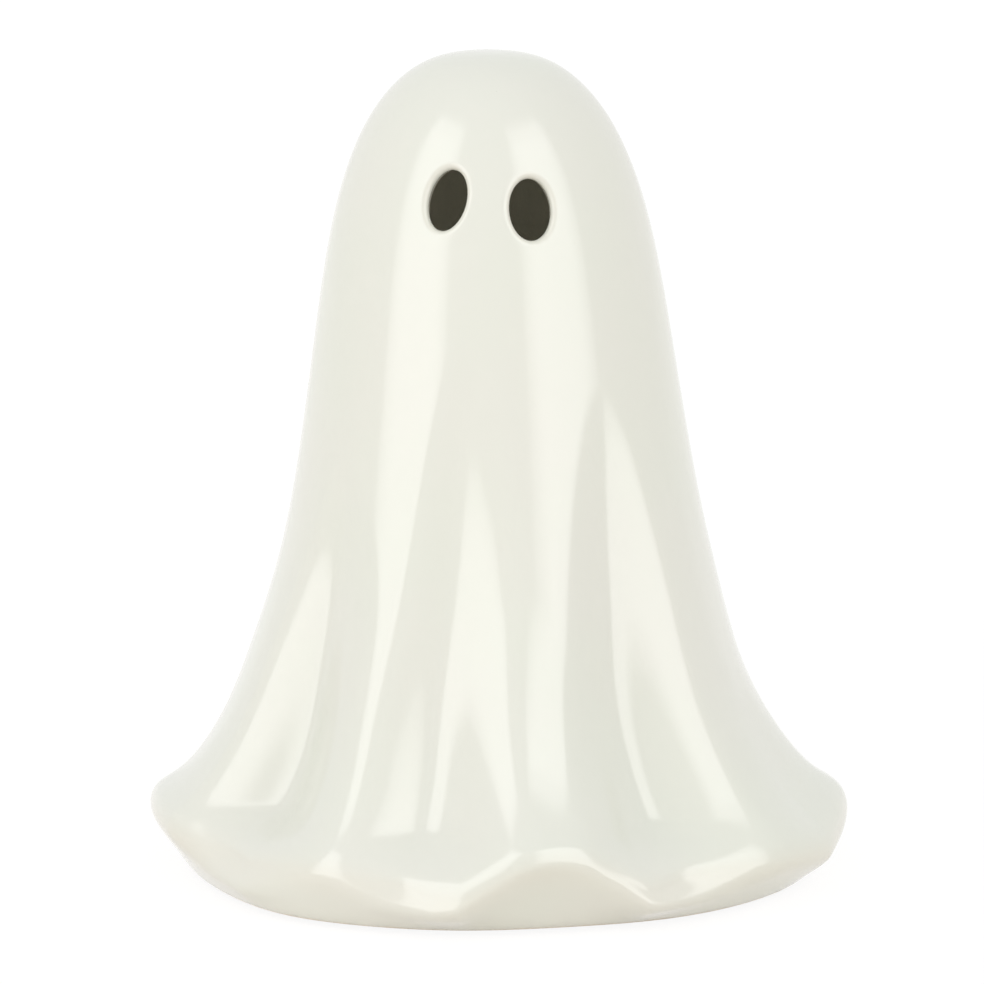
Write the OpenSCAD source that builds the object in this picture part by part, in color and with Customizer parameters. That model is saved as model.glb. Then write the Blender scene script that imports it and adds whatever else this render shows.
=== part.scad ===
// Hollow glazed ceramic ghost with cut-out eyes, lit from inside by a battery light unit in its base.
// Front faces -Y, +Z is up, the origin is on the table under the middle of the foot.

/* [Ceramic body] */
// Height of the ceramic from its foot to the top of the head
ghost_h = 165.5; // [120:0.5:220]
// Radius of the flared hem, on which the whole outline is based
hem_r = 70.4; // [60:0.2:90]
// Wall of the cast ceramic
shell_t = 4.4; // [3:0.1:5.5]
// Roundness of the hem's edge
hem_roll = 3.2; // [2:0.1:4]
// Height of the hem's edge above the foot at its lowest places
hem_low = 7.7; // [3.5:0.1:7]
// Height of the tallest arch above the lowest places of the hem
arch_h = 8.1; // [6:0.1:15]
// Extra reach of the hem where it is lowest
hem_brim = 4.3; // [0:0.1:7]
// Depth of a full fold
fold_depth = 7.5; // [2:0.25:8]
// Extra reach of the hem at the two sides
side_reach = 2.7; // [0:0.1:5]
// Radius of the foot that the ceramic stands on
foot_r = 64.6; // [60:0.2:66]
// How far the head leans to the left
lean_top = 2.4; // [0:0.1:6]
// How far the skirt's middle bulges to the left
lean_belly = 0.85; // [0:0.05:2]
// Height above the foot where that bulge is largest
belly_h = 41; // [30:1:60]
// Height over which the bulge fades
belly_span = 16; // [10:1:30]

/* [Eyes] */
// Distance of the left eye below the top of the head
eye_left_drop = 26.2; // [22:0.1:36]
// Distance of the right eye below the top of the head
eye_right_drop = 28; // [22:0.1:36]
// Width of the left eye
eye_left_w = 7.7; // [5:0.1:10]
// Width of the right eye
eye_right_w = 8.4; // [5:0.1:10]
// Length of both eyes
eye_l = 12.3; // [8:0.1:15]
// Roundness of the eyes' edges
eye_lip = 1.4; // [0.6:0.1:2]
// Azimuth of the left eye in degrees, to the right of the front
eye_left_turn = -17; // [-24:0.5:-14]
// Azimuth of the right eye in degrees
eye_right_turn = 15.5; // [14:0.5:24]
// Tilt of the left eye in degrees
eye_left_roll = -8; // [-20:1:20]
// Tilt of the right eye in degrees
eye_right_roll = -2; // [-20:1:20]

/* [Foot] */
// Thickness of the pads under the foot
pad_t = 1; // [0.6:0.1:2]
// Radius of one pad
pad_r = 4; // [3:0.1:4.2]
// Gap between a pad and the inner edge of the foot ring
pad_inset = 0.6; // [0.2:0.1:1.4]
// Width of the foot ring
foot_ring_w = 13.6; // [13:0.1:17]
// Depth of the hollow inside the foot ring
foot_hollow = 1.5; // [1.5:0.1:3]
// Thickness of the ceramic floor
floor_t = 5.5; // [4:0.1:7]

/* [Light unit] */
// Gap between the cover's wall and the screw bosses inside it
unit_clear = 1; // [0.8:0.1:2]
// Wall of the cover
cover_t = 1.8; // [1.2:0.1:2]
// Thickness of the cover's roof
roof_t = 1.6; // [1.2:0.1:2.5]
// Height of the cover above the tray
cover_h = 20.1; // [19:0.1:26]
// Width of the tray's flange beyond the cover
flange_w = 5; // [3:0.1:6]
// Thickness of the flange
flange_t = 2; // [1.2:0.1:2.4]
// Thickness of the tray's plate
plate_t = 3; // [2.8:0.1:4]
// Gap between the unit and the ceramic
unit_play = 0.6; // [0.3:0.1:1]
// Thickness of the glue under the flange
glue_t = 0.4; // [0.2:0.1:0.8]
// Width of the glue's ring
glue_w = 3; // [2:0.1:4]

/* [Batteries] */
// Radius of one cell
cell_r = 5.25; // [5:0.05:5.4]
// Length of one cell, with its nub
cell_l = 44.5; // [43:0.1:45]
// Radius of the nub
nub_r = 1.9; // [1.5:0.1:2.5]
// Length of the nub
nub_l = 1; // [0.8:0.1:1.5]
// Gap between neighbouring cells
cell_gap = 0.9; // [0.5:0.1:1.1]
// Free height under and over the cells
cell_rest = 0.4; // [0.3:0.05:0.6]
// Gap between the outer cells and the bay's side walls
bay_side_gap = 0.55; // [0.3:0.05:0.8]
// Wall of the battery bay
bay_t = 1.6; // [1:0.1:1.8]
// Thickness of the bay's roof
bay_roof_t = 1.4; // [1:0.1:2]
// Thickness of the sheet metal contacts
contact_t = 0.4; // [0.3:0.05:0.5]
// Width of one contact
contact_w = 8.5; // [7:0.1:9.5]
// Length of a pressed contact spring
spring_l = 4.6; // [4:0.1:5]
// Radius of the spring at its foot
spring_foot_r = 3.4; // [2.8:0.1:3.8]
// Radius of the spring where it meets the cell
spring_tip_r = 2; // [1.6:0.1:2.4]
// Radius of the spring's wire
spring_wire_r = 0.3; // [0.25:0.01:0.35]
// Number of turns in a spring
spring_turns = 4; // [3:1:5]

/* [Battery door] */
// Thickness of the door
door_t = 2.4; // [2:0.1:2.6]
// Overlap of the door past the bay at each side
door_lap = 1.7; // [1.2:0.1:2]
// Gap around the door
door_gap = 0.3; // [0.25:0.05:0.5]
// Gap between the door and the ledge that it closes against
door_rest = 0.2; // [0.1:0.05:0.3]
// Radius of the door's corners
door_corner_r = 2; // [1:0.1:3]
// Radius of the hinge pins
hinge_pin_r = 0.72; // [0.6:0.02:0.8]
// Length of one hinge pin
hinge_pin_l = 1.8; // [1.2:0.1:2.2]
// Running clearance around a hinge pin
hinge_play = 0.07; // [0.04:0.01:0.1]
// Radius of the ear that takes the screw
ear_r = 4.2; // [3.6:0.1:4.6]
// Distance from the bay's end to the screw
ear_reach = 6.2; // [5.8:0.1:6.8]

/* [Screws] */
// Radius of a screw's shank
shank_r = 1.25; // [1:0.05:1.4]
// Radius of a screw's head
head_r = 2.3; // [2:0.1:2.6]
// Height of a screw's head
head_h = 1.35; // [1:0.05:1.5]
// Gap around a sunk screw head
head_gap = 0.35; // [0.2:0.05:0.5]
// Length of the shank of a cover screw
cover_screw_l = 9; // [6:0.5:12]
// Length of the shank of the door screw
door_screw_l = 5; // [4:0.1:6]
// Gap around the door screw's shank
door_screw_play = 0.4; // [0.35:0.05:0.5]
// Gap between a cover screw and its boss
screw_play = 0.05; // [0.03:0.01:0.1]
// Radius of a cover boss
boss_r = 3; // [2.4:0.1:3.2]
// Gap between a cover boss and the frame round the bay
boss_gap = 4; // [3:0.1:4.4]
// Place of the cover bosses to the front and back
boss_y = 14; // [11:0.1:14.5]
// Radius of the ring that keeps the door screw in the door
keeper_r = 2.1; // [1.9:0.1:2.3]
// Thickness of that ring
keeper_t = 0.5; // [0.4:0.05:0.6]

/* [Switch] */
// Gap between the switch case and the frame round the bay
switch_gap = 3.3; // [2.3:0.1:4.3]
// Width of the switch case
switch_w = 4.4; // [4:0.1:5]
// Length of the switch case
switch_l = 8.6; // [8.4:0.1:9.4]
// Height of the switch case
switch_h = 4.6; // [4:0.1:5]
// Wall of the switch case
switch_t = 0.5; // [0.4:0.05:0.6]
// Width of the knob
knob_w = 1.8; // [1.4:0.1:2.2]
// Length of the knob
knob_l = 2.6; // [2:0.1:3]
// How far the knob stands out of the tray
knob_out = 1; // [0.5:0.1:1.3]
// Travel of the knob
knob_travel = 2.5; // [2:0.1:2.6]
// Free space around the knob's stem
knob_play = 0.3; // [0.2:0.05:0.4]
// Length of the knob's foot inside the case
knob_foot_l = 4.6; // [4:0.1:4.8]
// Thickness of the knob's foot
knob_foot_t = 1.2; // [0.8:0.1:1.5]

/* [Lamp] */
// Radius of the lamp's body
led_r = 2.5; // [2.3:0.05:2.6]
// Height of the lamp with its dome
led_h = 8.6; // [8:0.1:9.2]
// Radius of the lamp's rim
led_rim_r = 2.9; // [2.8:0.05:3]
// Height of the lamp's rim
led_rim_h = 1; // [0.8:0.1:1.2]
// Height of the lamp above the board
led_rise = 1; // [0.6:0.1:2]
// Gap around the lamp in the cover
led_gap = 0.3; // [0.2:0.05:0.6]
// Distance between the lamp's two leads
lead_pitch = 2.54; // [2.4:0.01:2.6]
// Radius of a lamp lead
lamp_lead_r = 0.25; // [0.2:0.01:0.3]
// Outer radius of the frosted cap over the lamp
cap_r = 9; // [7:0.1:11]
// Wall of the cap
cap_t = 1; // [0.8:0.1:1.5]
// Height of the cap's straight part
cap_h = 6; // [6:0.5:12]

/* [Circuit board] */
// Width of the board
board_w = 30; // [28:0.5:32]
// Depth of the board
board_d = 22; // [20:0.5:26]
// Thickness of the board
board_t = 1.6; // [1.2:0.1:1.8]
// Height of the board above the bay's roof
board_rise = 1; // [0.6:0.1:1.2]
// Radius of the pegs that hold the board
peg_r = 1; // [0.8:0.05:1.2]
// Distance of the pegs from the board's edges
peg_inset = 2.6; // [2.4:0.1:4]
// Radius of the resistor
resistor_r = 1.2; // [1:0.05:1.3]
// Length of the resistor's body
resistor_l = 6.3; // [5.5:0.1:6.5]
// Distance between the resistor's legs
resistor_pitch = 10.2; // [9.5:0.1:11]
// Place of the resistor behind the middle
resistor_y = 6; // [5:0.1:7]
// Radius of an insulated wire
wire_r = 0.65; // [0.5:0.05:0.7]

/* [Hidden] */
$fn = 64;

// Overrun of every cut past the face that it opens
over = 1;
// Gap that keeps pieces of one body that only touch from overlapping
touch = 0.05;

// Meridian of the head and skirt from the crown down: shares of the hem radius and of the height
profile_shares = [
    [0, 1.002], [0.1875, 0.996], [0.342, 0.932], [0.4335, 0.8375], [0.483, 0.739], [0.5195, 0.635],
    [0.5565, 0.53], [0.602, 0.42], [0.669, 0.312], [0.739, 0.221], [0.837, 0.148]
];
// Folds: azimuth at the hem and at the tip, height of the tip and depth as shares, half widths to
// the left and to the right in degrees; a ridge between two folds has a negative depth
fold_shares = [
    [-54, -48.5, 0.52, 1.78, 12, 19], [-15.5, -8.5, 0.67, 1.17, 12, 16.5],
    [33.5, 35, 0.62, 1.55, 16.5, 15.5], [-64, -64, 0.42, -0.21, 20, 20], [52, 52, 0.6, -0.27, 24, 20],
    [4.5, 4.5, 0.38, -0.44, 14, 14], [-35.5, -35.5, 0.22, 0.16, 14, 14], [74, 72, 0.248, 0.25, 18, 18],
    [112, 112, 0.394, 0.85, 20, 20], [147, 145, 0.539, 0.85, 17, 17], [-179, -177, 0.43, 0.92, 17, 17],
    [-145, -144, 0.57, 0.85, 17, 17], [-112, -112, 0.37, 0.85, 20, 20]
];
// Arches of the hem: azimuth, share of the tallest arch, half width
arch_shares = [
    [-79, 0.62, 35.5], [-31.5, 0.47, 20.5], [9.5, 0.9, 16], [50, 0.3, 22], [93.5, 0.52, 30],
    [129, 0.67, 17], [164, 0.52, 17], [-162, 0.81, 16], [-128, 0.59, 16]
];
// Swells and hollows of the foot's outline: azimuth, share of the hem's roll, half width
foot_shares = [[12, -0.81, 20], [-40, 0.62, 16], [68, 0.38, 20]];
// Section of the rolled hem about its crest, in shares of the roll
roll_shares = [[-0.25, 1], [0.125, 0.125], [0.1875, -0.75]];
// Radius of the last row of the skirt above the roll, as a share of the hem radius
skirt_share = 0.926;
// Height of that row where the hem is lowest, as a share of the height
skirt_h_share = 0.095;
// Radius of the crest on the tallest arch, without its reach to the sides, as a share of the hem radius
crest_share = 0.944;
// Share of an arch's lift that each of the three rows above the roll takes
lift_shares = [0.03, 0.24, 0.35];
// Even part of the lift that the profile already holds, as a share of the tallest arch
lift_mean_share = 0.41;
// Share of the side reach that the last row of the skirt takes
side_share = 0.03;
// Radius of the cavity at the floor, as a share of its radius at the hem
cavity_low_share = 0.94;
// Edge of the foot: rows of its rounding, as shares of the hem's roll
foot_edge_shares = [[0, 0.375], [-0.375, 0], [-1.1, 0], [-2.2, 0]];
// Softness of a fold's crease, as a share of its half width
crease_soft_share = 0.25;
// Half width of a fold at its tip, in degrees
fold_tip_w = 4;
// How a fold deepens and widens from its tip down, and how full its flanks are
fold_growth = 1.22;
fold_spread = 4.4;
fold_fullness = 0.77;
// Height where the skirt turns into the brim, as a share of the height
brim_share = 0.112;
// Part of a fold's depth that is left at the hem
brim_fold_share = 0.44;
// Sharpness of the arches, of the reach to the sides and of the head's lean
arch_sharpness = 0.95;
reach_sharpness = 4;
lean_growth = 1.5;
// Rows of the meridian over which the folds fade out round the hem's roll
fade_rows = 2.2;

// Facets round the ceramic, down its outside and down its cavity, and those of an eye
round_n = 84;
down_n = 42;
cavity_down_n = 18;
eye_n = 32;
eye_lip_n = 3;

// Places on the meridian, counted in rows: the crest of the hem, and the ends of outside and cavity
crest_u = len(profile_shares) + 2;
outer_end_u = crest_u + len(foot_edge_shares) + 1;
cavity_end_u = crest_u - 1.5;
// Step that gives the meridian's direction
step_u = 0.01;

// Heights of the levels, from the table up
foot_z = pad_t;
floor_z = foot_z + foot_hollow;
seat_z = floor_z + flange_t + glue_t;
floor_top_z = floor_z + floor_t;
fold_low_z = foot_z + hem_low + hem_roll * 3 / 4;
brim_z = foot_z + ghost_h * brim_share;
plate_top_z = floor_z + plate_t;
door_top_z = floor_z + door_t;
ledge_z = door_top_z + door_rest;
cell_z = door_top_z + cell_rest + cell_r;
bay_roof_z = cell_z + cell_r + cell_rest;
bay_top_z = bay_roof_z + bay_roof_t;
board_z = bay_top_z + board_rise;
board_top_z = board_z + board_t;
cover_top_z = plate_top_z + cover_h;
led_z = board_top_z + led_rise;
wire_z = board_top_z + 2 * wire_r;
wire_start_z = plate_top_z + switch_h + 2 * wire_r;

// Battery bay and its door
cell_pitch = 2 * cell_r + cell_gap;
bay_half_w = cell_pitch + cell_r + bay_side_gap;
bay_half_l = cell_l / 2 + spring_l / 2 + contact_t + touch;
door_half_w = bay_half_w + door_lap;
door_half_l = bay_half_l + door_lap;
frame_half_w = door_half_w + bay_t;
hinge_r = door_t / 2;
hinge_y = -door_half_l + hinge_r;
hinge_z = floor_z + hinge_r;
screw_y = bay_half_l + ear_reach;
keeper_z = door_top_z + touch;

// What stands beside the bay, and the widths of the unit that takes it all in
boss_x = frame_half_w + boss_gap + boss_r;
switch_x = frame_half_w + switch_gap + switch_w / 2;
unit_r = max(screw_y, norm([boss_x, boss_y])) + boss_r + unit_clear + cover_t;
flange_r = unit_r + flange_w;
seat_r = flange_r + unit_play;
opening_r = unit_r + unit_play;
foot_inner_r = foot_r - foot_ring_w;
pad_ring_r = foot_inner_r + pad_inset + pad_r;
peg_x = board_w / 2 - peg_inset;
peg_y = board_d / 2 - peg_inset;

// Height of a contact over and under the cells' axes, and width of its solder tab
contact_half_h = cell_r * 0.83;
tab_w = contact_w / 3;
// Places on the board where the two wires are soldered
red_wire_y = board_d / 3;
switch_wire_x = board_w / 3;
// Cross in a screw's head
cross_l = head_r * 1.2;
cross_w = head_h / 3;
// Grip grooves of the door
groove_l = ear_r * 4;
groove_w = head_r / 5;
groove_step = head_r / 2;
groove_t = head_h / 4;

// Angle brought within half a turn of zero
function turned(a) = a - 360 * round(a / 360);
function clip(v) = min(max(v, 0), 1);
function smooth(t) = t * t * (3 - 2 * t);
function total(v) = v * [for (i = v) 1];

// Lift of the hem at an azimuth
function lift(a) = arch_h * max([
    for (s = arch_shares) s[1] * pow(cos(90 * clip(abs(turned(a - s[0])) / s[2])), arch_sharpness)
]);

// Radius of the foot at an azimuth
function foot_edge_r(a) =
    foot_r + hem_roll * total([for (s = foot_shares) s[1] * exp(-pow(turned(a - s[0]) / s[2], 2))]);

// Rows of control points of the meridian at an azimuth, as radius and height
function controls(a) =
    let(
        up = lift(a),
        rise = up - lift_mean_share * arch_h,
        reach = side_reach * pow(abs(sin(a)), reach_sharpness),
        crest = [crest_share * hem_r + reach + hem_brim * (1 - up / arch_h), foot_z + hem_low + up],
        foot = foot_edge_r(a),
        last = len(profile_shares) - 1
    )
    concat(
        [for (i = [0:last]) [
            hem_r * profile_shares[i][0],
            foot_z + ghost_h * profile_shares[i][1] + rise * (i < last - 1 ? 0 : lift_shares[i - last + 1])
        ]],
        [[
            hem_r * skirt_share + side_share * reach,
            foot_z + ghost_h * skirt_h_share + lift_shares[2] * rise + hem_roll / 2
        ]],
        [for (s = roll_shares) crest + hem_roll * s],
        [[(foot + crest[0]) / 2, (foot_z + crest[1] - hem_roll / 2) / 2]],
        [for (s = foot_edge_shares) [foot + hem_roll * s[0], foot_z + hem_roll * s[1]]]
    );

// Point of a uniform cubic spline; the meridian is closed over the crown by its mirror image
function spline(c, u) =
    let(
        i = min(floor(u), len(c) - 3),
        t = u - i,
        before = i == 0 ? [-c[1][0], c[1][1]] : c[i - 1]
    )
    (pow(1 - t, 3) * before + (3 * pow(t, 3) - 6 * t * t + 4) * c[i]
        + (1 + 3 * t + 3 * t * t - 3 * pow(t, 3)) * c[i + 1] + pow(t, 3) * c[i + 2]) / 6;

// Share of a fold's depth that is left at a height, since the folds spread out in the brim
function kept(z) = 1 - (1 - brim_fold_share) * smooth(clip((brim_z - z) / (brim_z - fold_low_z)));

// Depth of the folds at an azimuth and height
function fold(a, z) = fold_depth * kept(z) * total([
    for (s = fold_shares)
        let(
            tip = foot_z + ghost_h * s[2],
            t = clip((tip - z) / (tip - fold_low_z)),
            off = turned(a - s[1] - (s[0] - s[1]) * t),
            w = fold_tip_w + ((off < 0 ? s[4] : s[5]) - fold_tip_w) * (1 - pow(1 - t, fold_spread)),
            k = norm([off / w, crease_soft_share]) - crease_soft_share
        )
        s[3] * pow(t, fold_growth) * pow(clip(1 - k), 2) * (1 + fold_fullness * (k + k * k))
]);

// Shift to the left at a height
function lean(z) =
    -lean_top * pow(clip((z - foot_z - hem_low) / ghost_h), lean_growth)
    - lean_belly * exp(-pow((z - foot_z - belly_h) / belly_span, 2));

// The folds fade out round the hem's roll
function fade(u) = smooth(clip(1 - (u - crest_u) / fade_rows));

// Point of the meridian moved inwards by a depth
function inset(c, u, depth) =
    let(p = spline(c, u), d = spline(c, u + step_u) - p, n = [-d[1], d[0]] / norm(d))
    p - depth * n;

// Point of the outline turned to its azimuth, with the folds pressed in and the figure's lean
function place(a, u, p) =
    let(r = max(p[0] - fade(u) * fold(a, p[1]), 0))
    [r * sin(a) + lean(p[1]), -r * cos(a), p[1]];

function ring(around, u, depth) = [
    for (j = [0:around - 1])
        let(a = 360 * j / around, c = controls(a))
        place(a, u, depth > 0 ? inset(c, u, depth) : spline(c, u))
];

// Closed skin from one top point through rings, each with as many points, to an end point
module skin(top, rings, end) {
    around = len(rings[0]);
    count = len(rings);
    polyhedron(concat([top], [for (r = rings) each r], [end]), concat(
        [for (j = [0:around - 1]) [0, 1 + (j + 1) % around, 1 + j]],
        [for (i = [0:count - 2], j = [0:around - 1])
            let(a = 1 + i * around + j, b = 1 + i * around + (j + 1) % around)
            each [[a, b + around, a + around], [a, b, b + around]]],
        [for (j = [0:around - 1])
            [1 + count * around, 1 + (count - 1) * around + j, 1 + (count - 1) * around + (j + 1) % around]]
    ));
}

// Outer skin down to the foot, across the floor and up the cavity again
module ghost_body() {
    crown = spline(controls(0), 0)[1];
    outside = [for (i = [1:down_n]) ring(round_n, outer_end_u * i / down_n, 0)];
    cavity = [for (i = [cavity_down_n:-1:1]) ring(round_n, cavity_end_u * i / cavity_down_n, shell_t)];
    hole = function(z) [
        for (j = [0:round_n - 1])
            let(a = 360 * j / round_n) [opening_r / 2 * sin(a), -opening_r / 2 * cos(a), z]
    ];
    skin(
        [lean(foot_z + ghost_h), 0, crown],
        concat(outside, [hole(foot_z), hole(floor_top_z)],
            [[for (p = cavity[0]) [cavity_low_share * p[0], cavity_low_share * p[1], floor_top_z]]],
            cavity),
        [lean(foot_z + ghost_h), 0, crown - shell_t]
    );
}

// Place on the meridian where a height is reached
function u_at(c, z, low = 0, high = crest_u, tries = 24) =
    let(middle = (low + high) / 2)
    tries == 0 ? middle
    : spline(c, middle)[1] > z ? u_at(c, z, middle, high, tries - 1)
    : u_at(c, z, low, middle, tries - 1);

// Hole through the wall whose edge is rounded outwards, along +X from the surface
module eye_cut(w, l) {
    deep = [for (i = [0:eye_lip_n])
        let(t = i / eye_lip_n) [eye_lip * (t - 1), eye_lip * (1 - sqrt(1 - t * t))]];
    rows = concat([[-2 * shell_t, 0]], deep, [[shell_t, eye_lip]]);
    outline = function(row) [
        for (j = [0:eye_n - 1])
            [row[0], (w / 2 + row[1]) * cos(360 * j / eye_n), (l / 2 + row[1]) * sin(360 * j / eye_n)]
    ];
    polyhedron(
        [for (r = rows) each outline(r)],
        concat(
            [[for (j = [0:eye_n - 1]) j]],
            [for (i = [0:len(rows) - 2], j = [0:eye_n - 1])
                let(a = i * eye_n + j, b = i * eye_n + (j + 1) % eye_n)
                each [[a, a + eye_n, b + eye_n], [a, b + eye_n, b]]],
            [[for (j = [eye_n - 1:-1:0]) (len(rows) - 1) * eye_n + j]]
        )
    );
}

// An eye at an azimuth and a distance below the top of the head, tilted about its own axis
module eye(a, drop, w, roll) {
    c = controls(a);
    u = u_at(c, foot_z + ghost_h - drop);
    p = spline(c, u);
    d = spline(c, u + step_u) - p;
    translate([lean(p[1]), 0, 0])
        rotate([0, 0, a - 90])
            translate([p[0], 0, p[1]])
                rotate([0, -atan2(d[0], -d[1]), 0])
                    rotate([roll, 0, 0])
                        eye_cut(w, eye_l);
}

module disc(r, z0, z1) {
    translate([0, 0, z0]) cylinder(r = r, h = z1 - z0);
}

module block(x, y, z0, z1) {
    translate([-x / 2, -y / 2, z0]) cube([x, y, z1 - z0]);
}

module ghost_shell() {
    color([0.93, 0.93, 0.90])
        difference() {
            ghost_body();
            eye(eye_left_turn, eye_left_drop, eye_left_w, eye_left_roll);
            eye(eye_right_turn, eye_right_drop, eye_right_w, eye_right_roll);
            disc(foot_inner_r, foot_z - over, floor_z);
            disc(seat_r, floor_z - over, seat_z);
            disc(opening_r, seat_z - over, floor_top_z + over);
        }
}

module foot_pads() {
    color([0.82, 0.80, 0.76])
        for (a = [45:90:315])
            rotate([0, 0, a])
                translate([pad_ring_r, 0, 0])
                    cylinder(r = pad_r, h = pad_t);
}

module glue_bead() {
    color([0.90, 0.89, 0.85])
        difference() {
            disc(flange_r - unit_play, floor_z + flange_t, seat_z);
            disc(flange_r - unit_play - glue_w, floor_z, seat_z + over);
        }
}

// Places of the four screws that hold the cover
module at_bosses() {
    for (x = [-boss_x, boss_x], y = [-boss_y, boss_y])
        translate([x, y, 0]) children();
}

// Outline of the battery door, widened all round by a gap
module door_outline(gap) {
    r = door_corner_r + gap;
    side = door_half_w - door_corner_r;
    back = -door_half_l;
    front = door_half_l - door_corner_r;
    translate([-door_half_w - gap, back - gap])
        square([2 * (door_half_w + gap), front - back + gap]);
    translate([-side, front - over])
        square([2 * side, over + r]);
    for (x = [-side, side])
        translate([x, front]) circle(r);
    translate([-ear_r - gap, front])
        square([2 * (ear_r + gap), screw_y - front]);
    translate([0, screw_y]) circle(ear_r + gap);
}

// Pocket in the tray's plate that the door lies in, over the hinge pins as well
module door_pocket() {
    translate([0, 0, floor_z - over])
        linear_extrude(ledge_z - floor_z + over) door_outline(door_gap);
}

module base_tray() {
    head_z = floor_z + head_h + head_gap;
    color([0.90, 0.90, 0.88])
        difference() {
            union() {
                disc(flange_r, floor_z, floor_z + flange_t);
                disc(unit_r, floor_z, plate_top_z);
                block(2 * (bay_half_w + bay_t), 2 * (bay_half_l + bay_t), floor_z, bay_top_z);
                // Frame that stiffens the ledge round the bay's mouth
                block(2 * frame_half_w, 2 * (bay_half_l + bay_t), floor_z, plate_top_z + bay_t / 2);
                // Boss of the door screw
                translate([0, screw_y, 0]) disc(boss_r, floor_z, keeper_z + 2 * keeper_t + door_screw_l);
                // Pegs that carry and hold the circuit board
                for (s = [-1, 1])
                    translate([s * peg_x, s * peg_y, 0]) {
                        disc(2 * peg_r, bay_roof_z, board_z);
                        disc(peg_r, bay_roof_z, board_top_z + peg_r);
                    }
                // Stops that hold the switch between them
                for (s = [-1, 1])
                    translate([switch_x, s * (switch_l / 2 + touch + switch_t), 0])
                        block(switch_w, 2 * switch_t, floor_z, plate_top_z + switch_h);
            }
            door_pocket();
            block(2 * bay_half_w, 2 * bay_half_l, floor_z - over, bay_roof_z);
            // Bores of the hinge pins
            translate([0, hinge_y, hinge_z])
                rotate([0, 90, 0])
                    cylinder(
                        r = hinge_pin_r + hinge_play, h = 2 * (door_half_w + hinge_pin_l + door_gap),
                        center = true);
            // Bore of the door screw, with room for its keeper
            translate([0, screw_y, 0]) {
                disc(keeper_r + head_gap, floor_z, keeper_z + 2 * keeper_t);
                disc(shank_r + door_screw_play, floor_z, keeper_z + 2 * keeper_t + door_screw_l + over);
            }
            // Sunk holes of the cover screws
            at_bosses() {
                disc(head_r + head_gap, floor_z - over, head_z);
                disc(shank_r + head_gap, floor_z, plate_top_z + over);
            }
            // Slot of the switch knob
            translate([switch_x, 0, 0])
                block(knob_w + 2 * knob_play, knob_l + knob_travel + 2 * knob_play,
                    floor_z - over, plate_top_z + over);
            // Slots in the bay's roof for the two soldered tabs
            for (s = [-1, 1])
                translate([-s * cell_pitch, s * (bay_half_l - contact_t), 0])
                    block(contact_w / 2, 3 * contact_t, bay_roof_z - over, bay_top_z + over);
        }
    // Ribs that part the cells
    color([0.90, 0.90, 0.88])
        for (x = [-cell_pitch / 2, cell_pitch / 2])
            translate([x, 0, 0])
                block(cell_gap, bay_half_l, bay_roof_z - cell_r / 2, bay_roof_z);
}

module unit_cover() {
    inside_r = unit_r - cover_t;
    color([0.93, 0.93, 0.92])
        difference() {
            union() {
                difference() {
                    disc(unit_r, plate_top_z, cover_top_z);
                    disc(inside_r, plate_top_z - over, cover_top_z - roof_t);
                }
                at_bosses() disc(boss_r, plate_top_z, cover_top_z - roof_t / 2);
                // Raised ring that carries the lamp's cap
                disc(cap_r - cap_t - touch, cover_top_z - roof_t / 2, cover_top_z + cap_t);
            }
            at_bosses() disc(shank_r + screw_play, plate_top_z - over, plate_top_z + cover_screw_l + over);
            disc(cap_r - 2 * cap_t - touch, cover_top_z, cover_top_z + cap_t + over);
            disc(led_rim_r + led_gap, cover_top_z - roof_t - over, cover_top_z + over);
        }
}

// Screw that stands on its head, with its shank upwards and a cross in the head
module screw(z, shank_l) {
    difference() {
        union() {
            disc(head_r, z - head_h, z);
            disc(shank_r, z - head_h / 2, z + shank_l);
        }
        for (turn = [0, 90])
            rotate([0, 0, turn])
                block(cross_l, cross_w, z - head_h - over, z - head_h / 2);
    }
}

module cover_screws() {
    color([0.72, 0.72, 0.74])
        at_bosses() screw(floor_z + head_h + head_gap, cover_screw_l);
}

module lamp_cap() {
    color([0.96, 0.95, 0.90])
        translate([0, 0, cover_top_z])
            rotate_extrude()
                difference() {
                    union() {
                        square([cap_r, cap_h]);
                        translate([0, cap_h]) intersection() {
                            circle(cap_r);
                            square(cap_r);
                        }
                    }
                    translate([0, -over]) square([cap_r - cap_t, cap_h + over]);
                    translate([0, cap_h]) intersection() {
                        circle(cap_r - cap_t);
                        translate([0, -over]) square([cap_r, cap_r + over]);
                    }
                }
}

module led_lamp() {
    color([1, 0.96, 0.82])
        translate([0, 0, led_z])
            rotate_extrude()
                union() {
                    square([led_rim_r, led_rim_h]);
                    square([led_r, led_h - led_r]);
                    translate([0, led_h - led_r]) intersection() {
                        circle(led_r);
                        square(led_r);
                    }
                }
}

module led_leads() {
    color([0.75, 0.75, 0.77])
        for (x = [-lead_pitch / 2, lead_pitch / 2])
            translate([x, 0, 0]) disc(lamp_lead_r, board_z - board_rise / 2, led_z);
}

module circuit_board() {
    hole_r = lamp_lead_r + touch;
    color([0.16, 0.42, 0.22])
        difference() {
            block(board_w, board_d, board_z, board_top_z);
            for (s = [-1, 1])
                translate([s * peg_x, s * peg_y, 0])
                    disc(peg_r + touch, board_z - over, board_top_z + over);
            for (x = [-lead_pitch / 2, lead_pitch / 2])
                translate([x, 0, 0]) disc(hole_r, board_z - over, board_top_z + over);
            for (x = [-resistor_pitch / 2, resistor_pitch / 2])
                translate([x, resistor_y, 0]) disc(hole_r, board_z - over, board_top_z + over);
        }
}

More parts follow.
